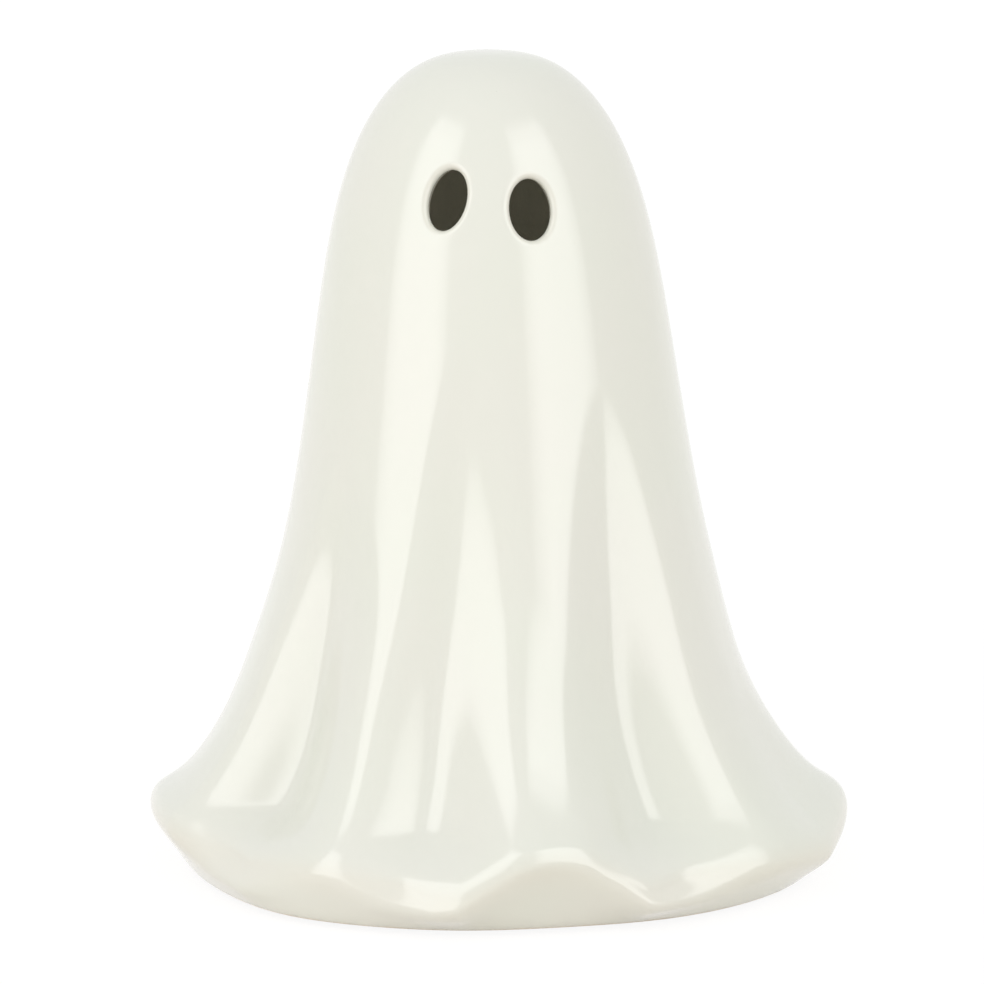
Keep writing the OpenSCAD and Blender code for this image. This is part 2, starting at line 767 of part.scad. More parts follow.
module resistor() {
    axis_z = board_top_z + resistor_r + touch;
    color([0.80, 0.70, 0.52])
        translate([0, resistor_y, 0]) {
            translate([0, 0, axis_z]) rotate([0, 90, 0]) {
                cylinder(r = resistor_r, h = resistor_l, center = true);
                cylinder(r = lamp_lead_r, h = resistor_pitch, center = true);
            }
            for (x = [-resistor_pitch / 2, resistor_pitch / 2])
                translate([x, 0, 0]) {
                    disc(lamp_lead_r, board_z - board_rise / 2, axis_z);
                    translate([0, 0, axis_z]) sphere(lamp_lead_r);
                }
        }
}

module switch_case() {
    color([0.70, 0.71, 0.72])
        translate([switch_x, 0, 0])
            difference() {
                block(switch_w, switch_l, plate_top_z, plate_top_z + switch_h);
                block(switch_w - 2 * switch_t, switch_l - 2 * switch_t,
                    plate_top_z + switch_t, plate_top_z + switch_h - switch_t);
                block(knob_w + 2 * knob_play, knob_l + knob_travel + 2 * knob_play,
                    plate_top_z - over, plate_top_z + switch_t + touch);
            }
}

module switch_pins() {
    color("darkgoldenrod")
        for (y = [-lead_pitch, 0, lead_pitch])
            translate([switch_x, y, 0])
                block(2 * contact_t, contact_t, plate_top_z + switch_h, wire_start_z + wire_r);
}

module switch_knob() {
    foot_low_z = plate_top_z + switch_t + touch;
    color([0.10, 0.10, 0.11])
        translate([switch_x, -knob_travel / 2, 0]) {
            block(knob_w, knob_l, floor_z - knob_out, foot_low_z + knob_foot_t);
            block(switch_w - 2 * switch_t - 2 * knob_play, knob_foot_l,
                foot_low_z, foot_low_z + knob_foot_t);
        }
}

// Flat contact against the bay's end wall; side is 1 at the back and -1 at the front
module contact_sheet(side, x0, x1, top_z) {
    y = bay_half_l - contact_t;
    translate([0, side > 0 ? y : -y - contact_t, 0])
        translate([x0, 0, cell_z - contact_half_h])
            cube([x1 - x0, contact_t - touch / 2, top_z - cell_z + contact_half_h]);
}

module terminal(side) {
    x = -side * cell_pitch;
    color([0.80, 0.80, 0.81]) {
        contact_sheet(side, x - contact_w / 2, x + contact_w / 2, cell_z + contact_half_h);
        contact_sheet(side, x - tab_w / 2, x + tab_w / 2, wire_z + wire_r);
    }
}

module positive_terminal() { terminal(1); }
module negative_terminal() { terminal(-1); }

module cell_bridges() {
    color([0.80, 0.80, 0.81])
        for (side = [-1, 1])
            contact_sheet(side, min(0, side * cell_pitch) - contact_w / 2,
                max(0, side * cell_pitch) + contact_w / 2, cell_z + contact_half_h);
}

// Cells 1 and 3 have their nub at the back and at the front by turns; end is the nub's side
function cell_x(n) = (n - 2) * cell_pitch;
function nub_side(n) = n == 2 ? -1 : 1;

module battery(n) {
    color([0.20, 0.22, 0.25])
        translate([cell_x(n), nub_side(n) * (bay_half_l - contact_t - touch), cell_z])
            rotate([nub_side(n) * 90, 0, 0]) {
                cylinder(r = nub_r, h = 2 * nub_l);
                translate([0, 0, nub_l]) cylinder(r = cell_r, h = cell_l - nub_l);
            }
}

// Wound contact spring, one unbroken tube that narrows towards the cell
module contact_spring(n) {
    ring_n = 16;
    side_n = 6;
    rise = spring_l - 2 * spring_wire_r - 2 * touch;
    steps = spring_turns * ring_n;
    points = [for (i = [0:steps], j = [0:side_n - 1])
        let(
            t = i / steps,
            r = spring_foot_r + (spring_tip_r - spring_foot_r) * t + spring_wire_r * cos(360 * j / side_n),
            z = spring_wire_r + touch + rise * t + spring_wire_r * sin(360 * j / side_n),
            a = 360 * i / ring_n
        )
        [r * cos(a), r * sin(a), z]];
    color([0.78, 0.78, 0.80])
        translate([cell_x(n), -nub_side(n) * (bay_half_l - contact_t), cell_z])
            rotate([-nub_side(n) * -90, 0, 0]) mirror([0, 0, 1])
                polyhedron(points, concat(
                    [[for (j = [side_n - 1:-1:0]) j]],
                    [for (i = [0:steps - 1], j = [0:side_n - 1])
                        let(a = i * side_n + j, b = i * side_n + (j + 1) % side_n)
                        each [[a, b, b + side_n], [a, b + side_n, a + side_n]]],
                    [[for (j = [0:side_n - 1]) steps * side_n + j]]
                ));
}

// Insulated wire along straight stretches, with a round bend at each corner
module lead(points) {
    for (i = [0:len(points) - 2])
        let(d = points[i + 1] - points[i])
        translate(points[i])
            rotate([0, acos(d[2] / norm(d)), atan2(d[1], d[0])])
                cylinder(r = wire_r, h = norm(d));
    for (i = [1:len(points) - 2])
        translate(points[i]) sphere(wire_r);
}

module lead_red() {
    y = bay_half_l - contact_t - touch;
    color([0.75, 0.08, 0.06])
        lead([
            [-cell_pitch, y, wire_z],
            [-cell_pitch, red_wire_y, wire_z],
            [-cell_pitch, red_wire_y, board_top_z + touch]
        ]);
}

module lead_black() {
    y = bay_half_l - contact_t - touch;
    x = bay_half_w + bay_t + 2 * wire_r;
    color([0.05, 0.05, 0.05])
        lead([
            [cell_pitch, -y, wire_z],
            [cell_pitch, -y + cell_r, wire_z],
            [x, -y + cell_r, wire_z],
            [x, -lead_pitch, wire_z],
            [x, -lead_pitch, wire_start_z],
            [switch_x - contact_t - touch, -lead_pitch, wire_start_z]
        ]);
}

module lead_switch() {
    x = bay_half_w + bay_t + 2 * wire_r;
    color([0.05, 0.05, 0.05])
        lead([
            [switch_x - contact_t - touch, 0, wire_start_z],
            [x, 0, wire_start_z],
            [x, 0, wire_z],
            [switch_wire_x, 0, wire_z],
            [switch_wire_x, 0, board_top_z + touch]
        ]);
}

module battery_door() {
    color([0.88, 0.88, 0.86])
        difference() {
            union() {
                intersection() {
                    translate([0, 0, floor_z]) linear_extrude(door_t) door_outline(0);
                    translate([-flange_r, hinge_y, 0]) cube([2 * flange_r, 2 * flange_r, seat_z + over]);
                }
                translate([0, hinge_y, hinge_z]) rotate([0, 90, 0]) {
                    cylinder(r = hinge_r, h = 2 * door_half_w, center = true);
                    cylinder(r = hinge_pin_r, h = 2 * (door_half_w + hinge_pin_l), center = true);
                }
            }
            translate([0, screw_y, 0]) {
                disc(head_r + head_gap, floor_z - over, floor_z + head_h + head_gap / 2);
                disc(shank_r + door_gap, floor_z, door_top_z + over);
            }
            // Grip grooves for a fingernail
            for (i = [-2:2])
                translate([0, screw_y - 2 * ear_r - i * groove_step, 0])
                    block(groove_l, groove_w, floor_z - over, floor_z + groove_t);
        }
}

module door_screw() {
    color([0.72, 0.72, 0.74])
        translate([0, screw_y, 0])
            screw(floor_z + head_h + head_gap / 2 - touch, door_screw_l + keeper_t);
}

module screw_keeper() {
    color([0.10, 0.10, 0.11])
        translate([0, screw_y, 0])
            difference() {
                disc(keeper_r, keeper_z, keeper_z + keeper_t);
                disc(shank_r + screw_play, keeper_z - over, keeper_z + keeper_t + over);
            }
}

ghost_shell();
foot_pads();
glue_bead();
base_tray();
unit_cover();
cover_screws();
lamp_cap();
led_lamp();
led_leads();
circuit_board();
resistor();
switch_case();
switch_pins();
switch_knob();
positive_terminal();
negative_terminal();
cell_bridges();
contact_spring(1);  // contact_spring_1
contact_spring(2);  // contact_spring_2
contact_spring(3);  // contact_spring_3
battery(1);  // battery_1
battery(2);  // battery_2
battery(3);  // battery_3
lead_red();
lead_black();
lead_switch();
battery_door();
door_screw();
screw_keeper();
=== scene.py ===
"""Finished look of the hollow ceramic ghost and of the battery light unit in its base."""

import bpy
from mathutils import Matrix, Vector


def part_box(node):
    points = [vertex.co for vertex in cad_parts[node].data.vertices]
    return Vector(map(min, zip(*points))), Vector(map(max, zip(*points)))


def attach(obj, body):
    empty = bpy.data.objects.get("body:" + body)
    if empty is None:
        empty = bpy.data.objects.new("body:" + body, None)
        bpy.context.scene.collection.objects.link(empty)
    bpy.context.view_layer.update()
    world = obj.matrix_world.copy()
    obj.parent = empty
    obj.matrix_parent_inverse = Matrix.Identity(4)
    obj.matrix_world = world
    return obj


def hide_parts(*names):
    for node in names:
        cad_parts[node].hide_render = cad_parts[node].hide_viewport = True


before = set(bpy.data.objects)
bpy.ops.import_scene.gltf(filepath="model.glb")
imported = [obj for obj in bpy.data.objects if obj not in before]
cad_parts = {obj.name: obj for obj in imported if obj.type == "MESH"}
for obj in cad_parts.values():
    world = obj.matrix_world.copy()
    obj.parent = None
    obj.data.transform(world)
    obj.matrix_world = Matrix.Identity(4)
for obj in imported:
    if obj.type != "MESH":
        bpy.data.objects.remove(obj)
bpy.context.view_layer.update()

from math import atan2, cos, pi, radians, sin, sqrt, tan

import bmesh
import bpy
import numpy as np
from mathutils import Matrix, Vector

bl_info = {
    "name": "Ceramic Ghost",
    "version": (1, 0, 0),
    "blender": (4, 5, 0),
    "location": "3D View > Sidebar > Ghost",
    "description": "Builds the glazed ghost, its light unit and the stage around the packed model",
    "category": "Add Mesh",
}

MM = 0.001
FIGURE, SCREW, KNOB = "figure", "screw", "knob"
# Each cell's number and the way it lies: the middle one lies the other way round
CELL_WAYS = ((1, 1), (2, -1), (3, 1))
SHELL_LOW, SHELL_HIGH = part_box("ghost_shell")

# Meridian of the head and skirt from the crown down: shares of the hem radius and of the height,
# and the share of an arch's lift that the row takes
PROFILE = (
    (0, 1.002, 0), (0.1875, 0.996, 0), (0.342, 0.932, 0), (0.4335, 0.8375, 0), (0.483, 0.739, 0),
    (0.5195, 0.635, 0), (0.5565, 0.53, 0), (0.602, 0.42, 0), (0.669, 0.312, 0), (0.739, 0.221, 0.03),
    (0.837, 0.148, 0.24),
)
# Folds: azimuth at the hem and at the tip, height of the tip and depth as shares, width to both sides
FOLDS = (
    (-54, -48.5, 0.52, 1.78, 12, 19), (-15.5, -8.5, 0.67, 1.17, 12, 16.5),
    (33.5, 35, 0.62, 1.55, 16.5, 15.5), (-64, -64, 0.42, -0.21, 20, 20), (52, 52, 0.6, -0.27, 24, 20),
    (4.5, 4.5, 0.38, -0.44, 14, 14), (-35.5, -35.5, 0.22, 0.16, 14, 14), (74, 72, 0.248, 0.25, 18, 18),
    (112, 112, 0.394, 0.85, 20, 20), (147, 145, 0.539, 0.85, 17, 17), (-179, -177, 0.43, 0.92, 17, 17),
    (-145, -144, 0.57, 0.85, 17, 17), (-112, -112, 0.37, 0.85, 20, 20),
)
# Arches of the hem: azimuth, share of the tallest arch, half width
ARCHES = (
    (-79, 0.62, 35.5), (-31.5, 0.47, 20.5), (9.5, 0.9, 16), (50, 0.3, 22), (93.5, 0.52, 30),
    (129, 0.67, 17), (164, 0.52, 17), (-162, 0.81, 16), (-128, 0.59, 16),
)
# Swells and hollows of the foot's outline: azimuth, share of the roll, half width
FOOT_SWELLS = ((12, -0.81, 20), (-40, 0.62, 16), (68, 0.38, 20))
# Sections of the rolled hem about its crest and of the foot's edge, in shares of the roll
ROLL = ((-0.25, 1), (0.125, 0.125), (0.1875, -0.75))
FOOT_EDGE = ((0, 0.375), (-0.375, 0), (-1.1, 0), (-2.2, 0))
# The row between skirt and hem: its radius and height, and its shares of the lift and the side reach
SKIRT_R, SKIRT_Z, SKIRT_LIFT, SKIRT_REACH = 0.926, 0.095, 0.35, 0.03
# The radius of the hem's crest, the arches' mean lift and how sharp they are
CREST_R, LIFT_MEAN, ARCH_SHARPNESS = 0.944, 0.41, 0.95
# A fold's crease, the softer the larger, its width at the tip in degrees, how it deepens and widens,
# and how full its flanks are
CREASE_SOFT, TIP_WIDTH, DEPTH_GROWTH, WIDTH_GROWTH, FULLNESS = 0.25, 4, 1.22, 4.4, 0.77
# The height below which the folds flatten out, and the share that is left of them at the hem
BRIM_Z, BRIM_FOLD = 0.112, 0.44
# Places on the meridian: the hem's crest, the foot's inner edge and the lowest row of the cavity
CREST_U = len(PROFILE) + 2
FOOT_U = len(PROFILE) + 7
CAVITY_U = CREST_U - 1.5
# The stretch under the crest over which the folds end, and the share of the cavity's radius at its floor
FADE_SPAN, CAVITY_LOW = 2.2, 0.94

# Columns round the body, and the rows of each stretch of the meridian
AROUND = 400
ROW_SPANS = ((0, 11, 132), (11, 16, 46), (16, FOOT_U, 10))

# Soft boxes: azimuth and half the angle that each one spans; their distance, lower edge and upper edges
LEFT_BOX, RIGHT_BOX, FRONT_BOX = (-50, 20), (44, 23), (0, 25)
BOX_AWAY, BOX_LOW, BOX_HIGH, FRONT_HIGH = 0.7, -0.1, 1.15, 0.5
# The two boxes' sheens: the share of each, the distance of the first, the gap between them, the upper edge
SHEENS, SHEEN_AWAY, SHEEN_GAP, SHEEN_HIGH = (1, 0.85, 0.7), 0.75, 0.02, 1.4
# The floor: radius, rings, points round it, and its white; where its shadow starts to fade and is gone
FLOOR_R, FLOOR_RINGS, FLOOR_STEPS, PAPER_WHITE = 4, 24, 64, 1.06
SHADOW_FULL, SHADOW_GONE = 0.16, 0.4
# The camera's shift: the figure stands a little right of the picture's middle
VIEW_SHIFT = -0.007


def size(name, description, millimetres):
    """A length that the panel shows."""
    return bpy.props.FloatProperty(
        name=name, description=description, default=millimetres * MM, min=0, unit="LENGTH", precision=5)


def tone(name, description, red, green, blue):
    """A colour that the panel shows."""
    return bpy.props.FloatVectorProperty(
        name=name, description=description, subtype="COLOR", size=4, min=0, max=1,
        default=(red, green, blue, 1))


def degrees_of(name, description, value):
    """An angle that the panel shows."""
    return bpy.props.FloatProperty(
        name=name, description=description, default=radians(value), subtype="ANGLE")


def strength(name, description, value):
    """A plain factor that the panel shows."""
    return bpy.props.FloatProperty(name=name, description=description, default=value, min=0)


class GhostBodySizes(bpy.types.PropertyGroup):
    """Sizes and colours of the ceramic body"""
    height: bpy.props.FloatProperty(
        name="Height", description="From the foot to the crown", unit="LENGTH",
        default=round(SHELL_HIGH.z - SHELL_LOW.z, 5))
    foot_z: bpy.props.FloatProperty(
        name="Stand-off", description="Height of the foot over the table", unit="LENGTH",
        default=round(SHELL_LOW.z, 5))
    hem: size("Hem radius", "Radius on which the whole outline is based", 70.4)
    wall: size("Wall", "Thickness of the cast ceramic", 4.4)
    roll: size("Hem roll", "Roundness of the hem's edge", 3.2)
    hem_low: size("Low hem", "Height of the hem where it is lowest", 7.7)
    arch: size("Arch", "Height of the tallest arch over the low hem", 8.1)
    brim: size("Brim", "Extra reach of the hem where it is lowest", 4.3)
    fold: size("Fold depth", "Depth of a full fold", 7.5)
    reach: size("Side reach", "Extra reach of the hem at the sides", 2.7)
    foot: size("Foot radius", "Radius of the foot", 64.6)
    lean_top: size("Lean", "Shift of the head to the left", 2.4)
    lean_belly: size("Belly", "Bulge of the skirt to the left", 0.85)
    belly_z: size("Belly height", "Height of that bulge over the foot", 41)
    belly_span: size("Belly span", "Height over which the bulge fades", 16)
    foot_hole: size("Foot ring", "Inner radius of the foot ring", 51)
    hollow: size("Foot hollow", "Depth of the hollow inside the foot ring", 1.5)
    seat: size("Seat radius", "Radius of the recess for the flange", 42.6)
    seat_depth: size("Seat depth", "Depth of that recess", 2.4)
    opening: size("Opening", "Radius of the opening for the light unit", 37.6)
    floor: size("Floor", "Thickness of the ceramic floor", 5.5)
    glaze: tone("Glaze", "Colour of the glaze", 0.776, 0.782, 0.712)
    pooled: tone("Pooled glaze", "Colour where the glaze is thick", 0.768, 0.786, 0.706)
    clay: tone("Clay", "Colour of the bare fired clay", 0.80, 0.74, 0.63)
    # Painted glow: a faint emission that lights the clay inside the body; it stands in for light and is no
    # lamp
    painted_inner_glow: tone("Inner light", "Daylight that soaks through the wall", 0.010, 0.011, 0.009)


class GhostEyeSizes(bpy.types.PropertyGroup):
    """Sizes and places of the two eyes"""
    length: size("Length", "Length of both eyes", 12.3)
    lip: size("Lip", "Roundness of the eyes' edges", 1.4)
    left_height: size("Left height", "Height of the left eye over the foot", 139.3)
    left_width: size("Left width", "Width of the left eye", 7.7)
    left_turn: degrees_of("Left azimuth", "Azimuth of the left eye", -17)
    left_roll: degrees_of("Left tilt", "Tilt of the left eye", -8)
    right_height: size("Right height", "Height of the right eye over the foot", 137.5)
    right_width: size("Right width", "Width of the right eye", 8.4)
    right_turn: degrees_of("Right azimuth", "Azimuth of the right eye", 15.5)
    right_roll: degrees_of("Right tilt", "Tilt of the right eye", -2)


class GhostUnitLooks(bpy.types.PropertyGroup):
    """Sizes and colours of the light unit"""
    tray: tone("Tray", "Colour of the tray and the door", 0.76, 0.76, 0.73)
    cover: tone("Cover", "Colour of the cover", 0.80, 0.80, 0.78)
    steel: tone("Steel", "Colour of the plated steel", 0.66, 0.66, 0.68)
    nickel: tone("Nickel", "Colour of the contacts", 0.72, 0.71, 0.69)
    brass: tone("Brass", "Colour of the switch pins", 0.72, 0.56, 0.27)
    jacket: tone("Jacket", "Colour of the cells' jackets", 0.035, 0.045, 0.06)
    band: tone("Band", "Colour of the band round each cell", 0.62, 0.36, 0.13)
    board: tone("Board", "Colour of the circuit board", 0.02, 0.16, 0.06)
    red: tone("Red wire", "Colour of the positive wire", 0.55, 0.02, 0.015)
    black: tone("Black wire", "Colour of the other wires", 0.02, 0.02, 0.022)
    foam: tone("Foam", "Colour of the foot pads", 0.62, 0.60, 0.55)
    glue: tone("Glue", "Colour of the glue", 0.84, 0.83, 0.78)
    pad: size("Pad radius", "Radius of one foot pad", 4)
    wire: size("Wire radius", "Outer radius of an insulated wire", 0.65)
    bend: size("Wire bend", "Radius of the wires' bends", 2.2)
    spring_wire: size("Spring wire", "Radius of the springs' wire", 0.3)
    spring_tip: size("Spring tip", "Radius of a spring where it meets the cell", 2)
    nub: size("Nub radius", "Radius of a cell's nub", 1.9)
    nub_length: size("Nub length", "Length of a cell's nub", 1)


class GhostStageLooks(bpy.types.PropertyGroup):
    """Floor, light and camera"""
    floor: tone("Floor", "Colour of the floor", 0.92, 0.865, 0.82)
    shadow: strength("Shadow", "How much of the shadow the floor shows", 0.14)
    room: strength("Room light", "Strength of the light from all sides", 0.8)
    front: strength("Front fill", "Brightness of the low fill light in front", 0.14)
    left: strength("Left lamp", "Brightness of the left soft box", 0.97)
    right: strength("Right lamp", "Brightness of the right soft box", 0.57)
    left_sheen: strength("Left sheen", "Further brightness of the left soft box in the glaze", 1.2)
    right_sheen: strength("Right sheen", "Further brightness of the right soft box in the glaze", 1.7)
    view_distance: size("Distance", "From the camera to the middle of the figure", 1120)
    view_width: size("Width", "Width of the picture at that distance", 199.95)
    view_middle: size("Middle", "Height at which the camera looks", 76.6)
    view_angle: degrees_of("Elevation", "How far the camera looks down", 10.5)


class Value:
    """A shader socket that joins in arithmetic; each operation adds its Math node."""

    def __init__(self, looks, socket):
        self.looks, self.socket = looks, socket

    def math(self, operation, *values):
        return self.looks.node("ShaderNodeMath", {"operation": operation}, values)

    def __add__(self, other):
        return self.math("ADD", self, other)

    def __sub__(self, other):
        return self.math("SUBTRACT", self, other)

    def __rsub__(self, other):
        return self.math("SUBTRACT", other, self)

    def __mul__(self, other):
        return self.math("MULTIPLY", self, other)

    def __lt__(self, other):
        return self.math("LESS_THAN", self, other)

    def __gt__(self, other):
        return self.math("GREATER_THAN", self, other)

    def __abs__(self):
        return self.math("ABSOLUTE", self)

    __radd__ = __add__
    __rmul__ = __mul__


class Looks:
    """The node tree of a material or a world, with its nodes added by calls."""

    def __init__(self, owner):
        owner.use_nodes = True
        self.owner, self.tree, self.normal = owner, owner.node_tree, None
        self.tree.nodes.clear()

    def node(self, kind, settings=None, values=(), output=0):
        """Adds a node, makes its settings first, then sets or links its sockets, and gives one output."""
        made = self.tree.nodes.new(kind)
        for key, value in (settings or {}).items():
            setattr(made, key, value)
        for key, value in values.items() if isinstance(values, dict) else enumerate(values):
            if isinstance(value, Value):
                self.tree.links.new(value.socket, made.inputs[key])
            elif value is not None:
                made.inputs[key].default_value = value
        return Value(self, made.outputs[output]) if made.outputs else None

    def mix(self, factor, one, two):
        """Colour one where the factor is 0, colour two where it is 1."""
        return self.node("ShaderNodeMix", {"data_type": "RGBA"}, {0: factor, 6: one, 7: two}, 2)

    def place(self, stretch=None):
        """Where a point lies on its piece, in metres, with its axes stretched if asked."""
        spot = self.node("ShaderNodeTexCoord", output="Object")
        if stretch:
            spot = self.node("ShaderNodeVectorMath", {"operation": "MULTIPLY"}, [spot, stretch])
        return spot

    def along(self, axis):
        """Where a point lies along X, Y or Z, in metres."""
        return self.node("ShaderNodeSeparateXYZ", None, [self.place()], axis)

    def noise(self, grain, detail=2.0, stretch=None):
        """Cloudy noise whose clouds are about as large as the grain."""
        return self.node("ShaderNodeTexNoise", None, {
            "Vector": self.place(stretch), "Scale": 1 / grain, "Detail": detail})

    def cells(self, grain):
        """Distance from the middle of cells that are about as large as the grain."""
        return self.node(
            "ShaderNodeTexVoronoi", None, {"Vector": self.place(), "Scale": 1 / grain}, "Distance")

    def step(self, value, low, high):
        """0 below low and 1 above high, with a soft way between."""
        return self.node("ShaderNodeMapRange", {"interpolation_type": "SMOOTHSTEP"}, [value, low, high])

    def carried(self, name):
        """A value that the mesh carries at its points."""
        return self.node("ShaderNodeAttribute", {"attribute_name": name}, output="Fac")

    def background_rays(self):
        """1 where a ray shows the background as it is: straight, in a reflection or through glass."""
        seen = 0
        for kind in ("Camera", "Glossy", "Transmission"):
            seen = seen + self.node("ShaderNodeLightPath", output=f"Is {kind} Ray")
        return self.step(seen, 0, 1)

    def bump(self, height, depth):
        """Raises the surface by the height times the depth, over what was raised before."""
        self.normal = self.node("ShaderNodeBump", None, {
            "Height": height, "Distance": depth, "Strength": 1, "Normal": self.normal})

    def soften(self, radius):
        """Rounds the edges of a sharp solid and gives the mask of its edges."""
        self.normal = self.node("ShaderNodeBevel", {"samples": 6}, [radius])
        flat = self.node("ShaderNodeNewGeometry", output="Normal")
        even = self.node("ShaderNodeVectorMath", {"operation": "DOT_PRODUCT"}, [self.normal, flat], "Value")
        return self.step(1 - even, 0.02, 0.3)

    def shade(self, colour, roughness, **others):
        """Ends a material in its principled shader."""
        values = {"Base Color": colour, "Roughness": roughness, "Normal": self.normal}
        values.update({key.replace("_", " "): value for key, value in others.items()})
        self.node("ShaderNodeOutputMaterial", None, [self.node("ShaderNodeBsdfPrincipled", None, values)])
        return self.owner


def looks_for(name):
    """The nodes of a new material."""
    return Looks(bpy.data.materials.new(name))


def shaded(colour, factor):
    """The colour made lighter or darker by a factor."""
    return (*(min(part * factor, 1) for part in colour[:3]), 1)


def circle(radius, k, steps):
    """X and Y of one of the points round a circle."""
    angle = 2 * pi * k / steps
    return radius * cos(angle), radius * sin(angle)


def quarter(radius, steps, middle=0.0):
    """Radius and height of the points along a dome, from its rim to its top, without both ends."""
    turns = [pi / 2 * k / steps for k in range(1, steps)]
    return [(radius * cos(turn), middle + radius * sin(turn)) for turn in turns]


def four_places(low, high, radius):
    """X and Y of the four round things that fill the corners of a box."""
    return [(x, y) for x in (low.x + radius, high.x - radius) for y in (low.y + radius, high.y - radius)]


class Shape:
    """Points and faces of one piece, put together from rings."""

    def __init__(self):
        self.points, self.faces, self.finishes = [], [], []

    def ring(self, points):
        """Adds points and gives their numbers."""
        start = len(self.points)
        self.points.extend(tuple(point) for point in points)
        return list(range(start, len(self.points)))

    def face(self, corners, finish):
        """Adds a face with the number of its finish."""
        self.faces.append(corners)
        self.finishes.append(finish)

    def stitch(self, one, two, finish=0):
        """Joins two rings: alike in number, two points to one, or a tip to a ring."""
        if len(one) < len(two):
            one, two = two, one
        count = len(one)
        for k in range(count):
            a, b = one[k], one[(k + 1) % count]
            if len(two) == 1:
                self.face((a, two[0], b), finish)
            elif len(two) == count:
                self.face((a, two[k], two[(k + 1) % count], b), finish)
            elif k % 2:
                self.face((a, two[k // 2], two[(k // 2 + 1) % len(two)], b), finish)
            else:
                self.face((a, two[k // 2], b), finish)

    def skin(self, rings, finish=0, closed=False):
        """Joins each ring to the next one."""
        for one, two in zip(rings, rings[1:] + (rings[:1] if closed else [])):
            self.stitch(one, two, finish)

    def turn(self, outline, place=Matrix(), steps=48, finish=0, closed=False):
        """Turns an outline of radius and height about the place's Z axis."""
        rings = []
        for radius, height in outline:
            count = steps if radius else 1
            rings.append(self.ring(place @ Vector((*circle(radius, k, count), height)) for k in range(count)))
        self.skin(rings, finish, closed)

    def tube(self, path, radius, sides=12, finish=0):
        """Sweeps a circle along a path; the radius is one number or one for each point."""
        path = [Vector(point) for point in path]
        radii = radius if isinstance(radius, (list, tuple)) else [radius] * len(path)
        neighbours = zip(path[:1] + path, path[1:] + path[-1:])
        ahead = [(after - before).normalized() for before, after in neighbours]
        side = ahead[0].orthogonal().normalized()
        rings = [self.ring([path[0]])]
        for point, way, wide in zip(path, ahead, radii):
            side = (side - way * side.dot(way)).normalized()
            other = way.cross(side)
            spokes = [circle(1, k, sides) for k in range(sides)]
            rings.append(self.ring(point + wide * (a * side + b * other) for a, b in spokes))
        rings.append(self.ring([path[-1]]))
        self.skin(rings, finish)

    def block(self, low, high, edge, finish=0, segments=3):
        """A block with rounded edges."""
        mesh = bmesh.new()
        bmesh.ops.create_cube(mesh, size=1)
        middle, span = (Vector(low) + Vector(high)) / 2, Vector(high) - Vector(low)
        for vert in mesh.verts:
            vert.co = middle + Vector(part * full for part, full in zip(vert.co, span))
        bmesh.ops.bevel(mesh, geom=mesh.edges[:], offset=edge, segments=segments, profile=0.5, affect="EDGES")
        mesh.verts.index_update()
        numbers = self.ring(vert.co for vert in mesh.verts)
        for face in mesh.faces:
            self.face([numbers[vert.index] for vert in face.verts], finish)
        mesh.free()

    def piece(self, name, body, slot, finishes, replaces=(), sharp=35, carried=()):
        """Makes the object, hangs it under the empty of its body and hides the nodes that it stands for; the
        slot is not used.
        """
        mesh = bpy.data.meshes.new(name)
        mesh.from_pydata(self.points, [], self.faces)
        for finish in finishes:
            mesh.materials.append(finish)
        mesh.polygons.foreach_set("material_index", self.finishes)
        for key, values in carried:
            mesh.attributes.new(key, "FLOAT", "POINT").data.foreach_set("value", values)
        sound = bmesh.new()
        sound.from_mesh(mesh)
        bmesh.ops.recalc_face_normals(sound, faces=sound.faces[:])
        sound.to_mesh(mesh)
        sound.free()
        mesh.shade_smooth()
        mesh.set_sharp_from_angle(angle=radians(sharp))
        made = bpy.data.objects.new(name, mesh)
        bpy.context.scene.collection.objects.link(made)
        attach(made, body)
        if replaces:
            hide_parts(*replaces)
        return made


def refinish(node, finish):
    """Gives a CAD node a new material."""
    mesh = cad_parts[node].data
    mesh.materials.clear()
    mesh.materials.append(finish)


def turned(azimuth):
    """The azimuth between -180 and 180 degrees."""
    return (azimuth + 180) % 360 - 180


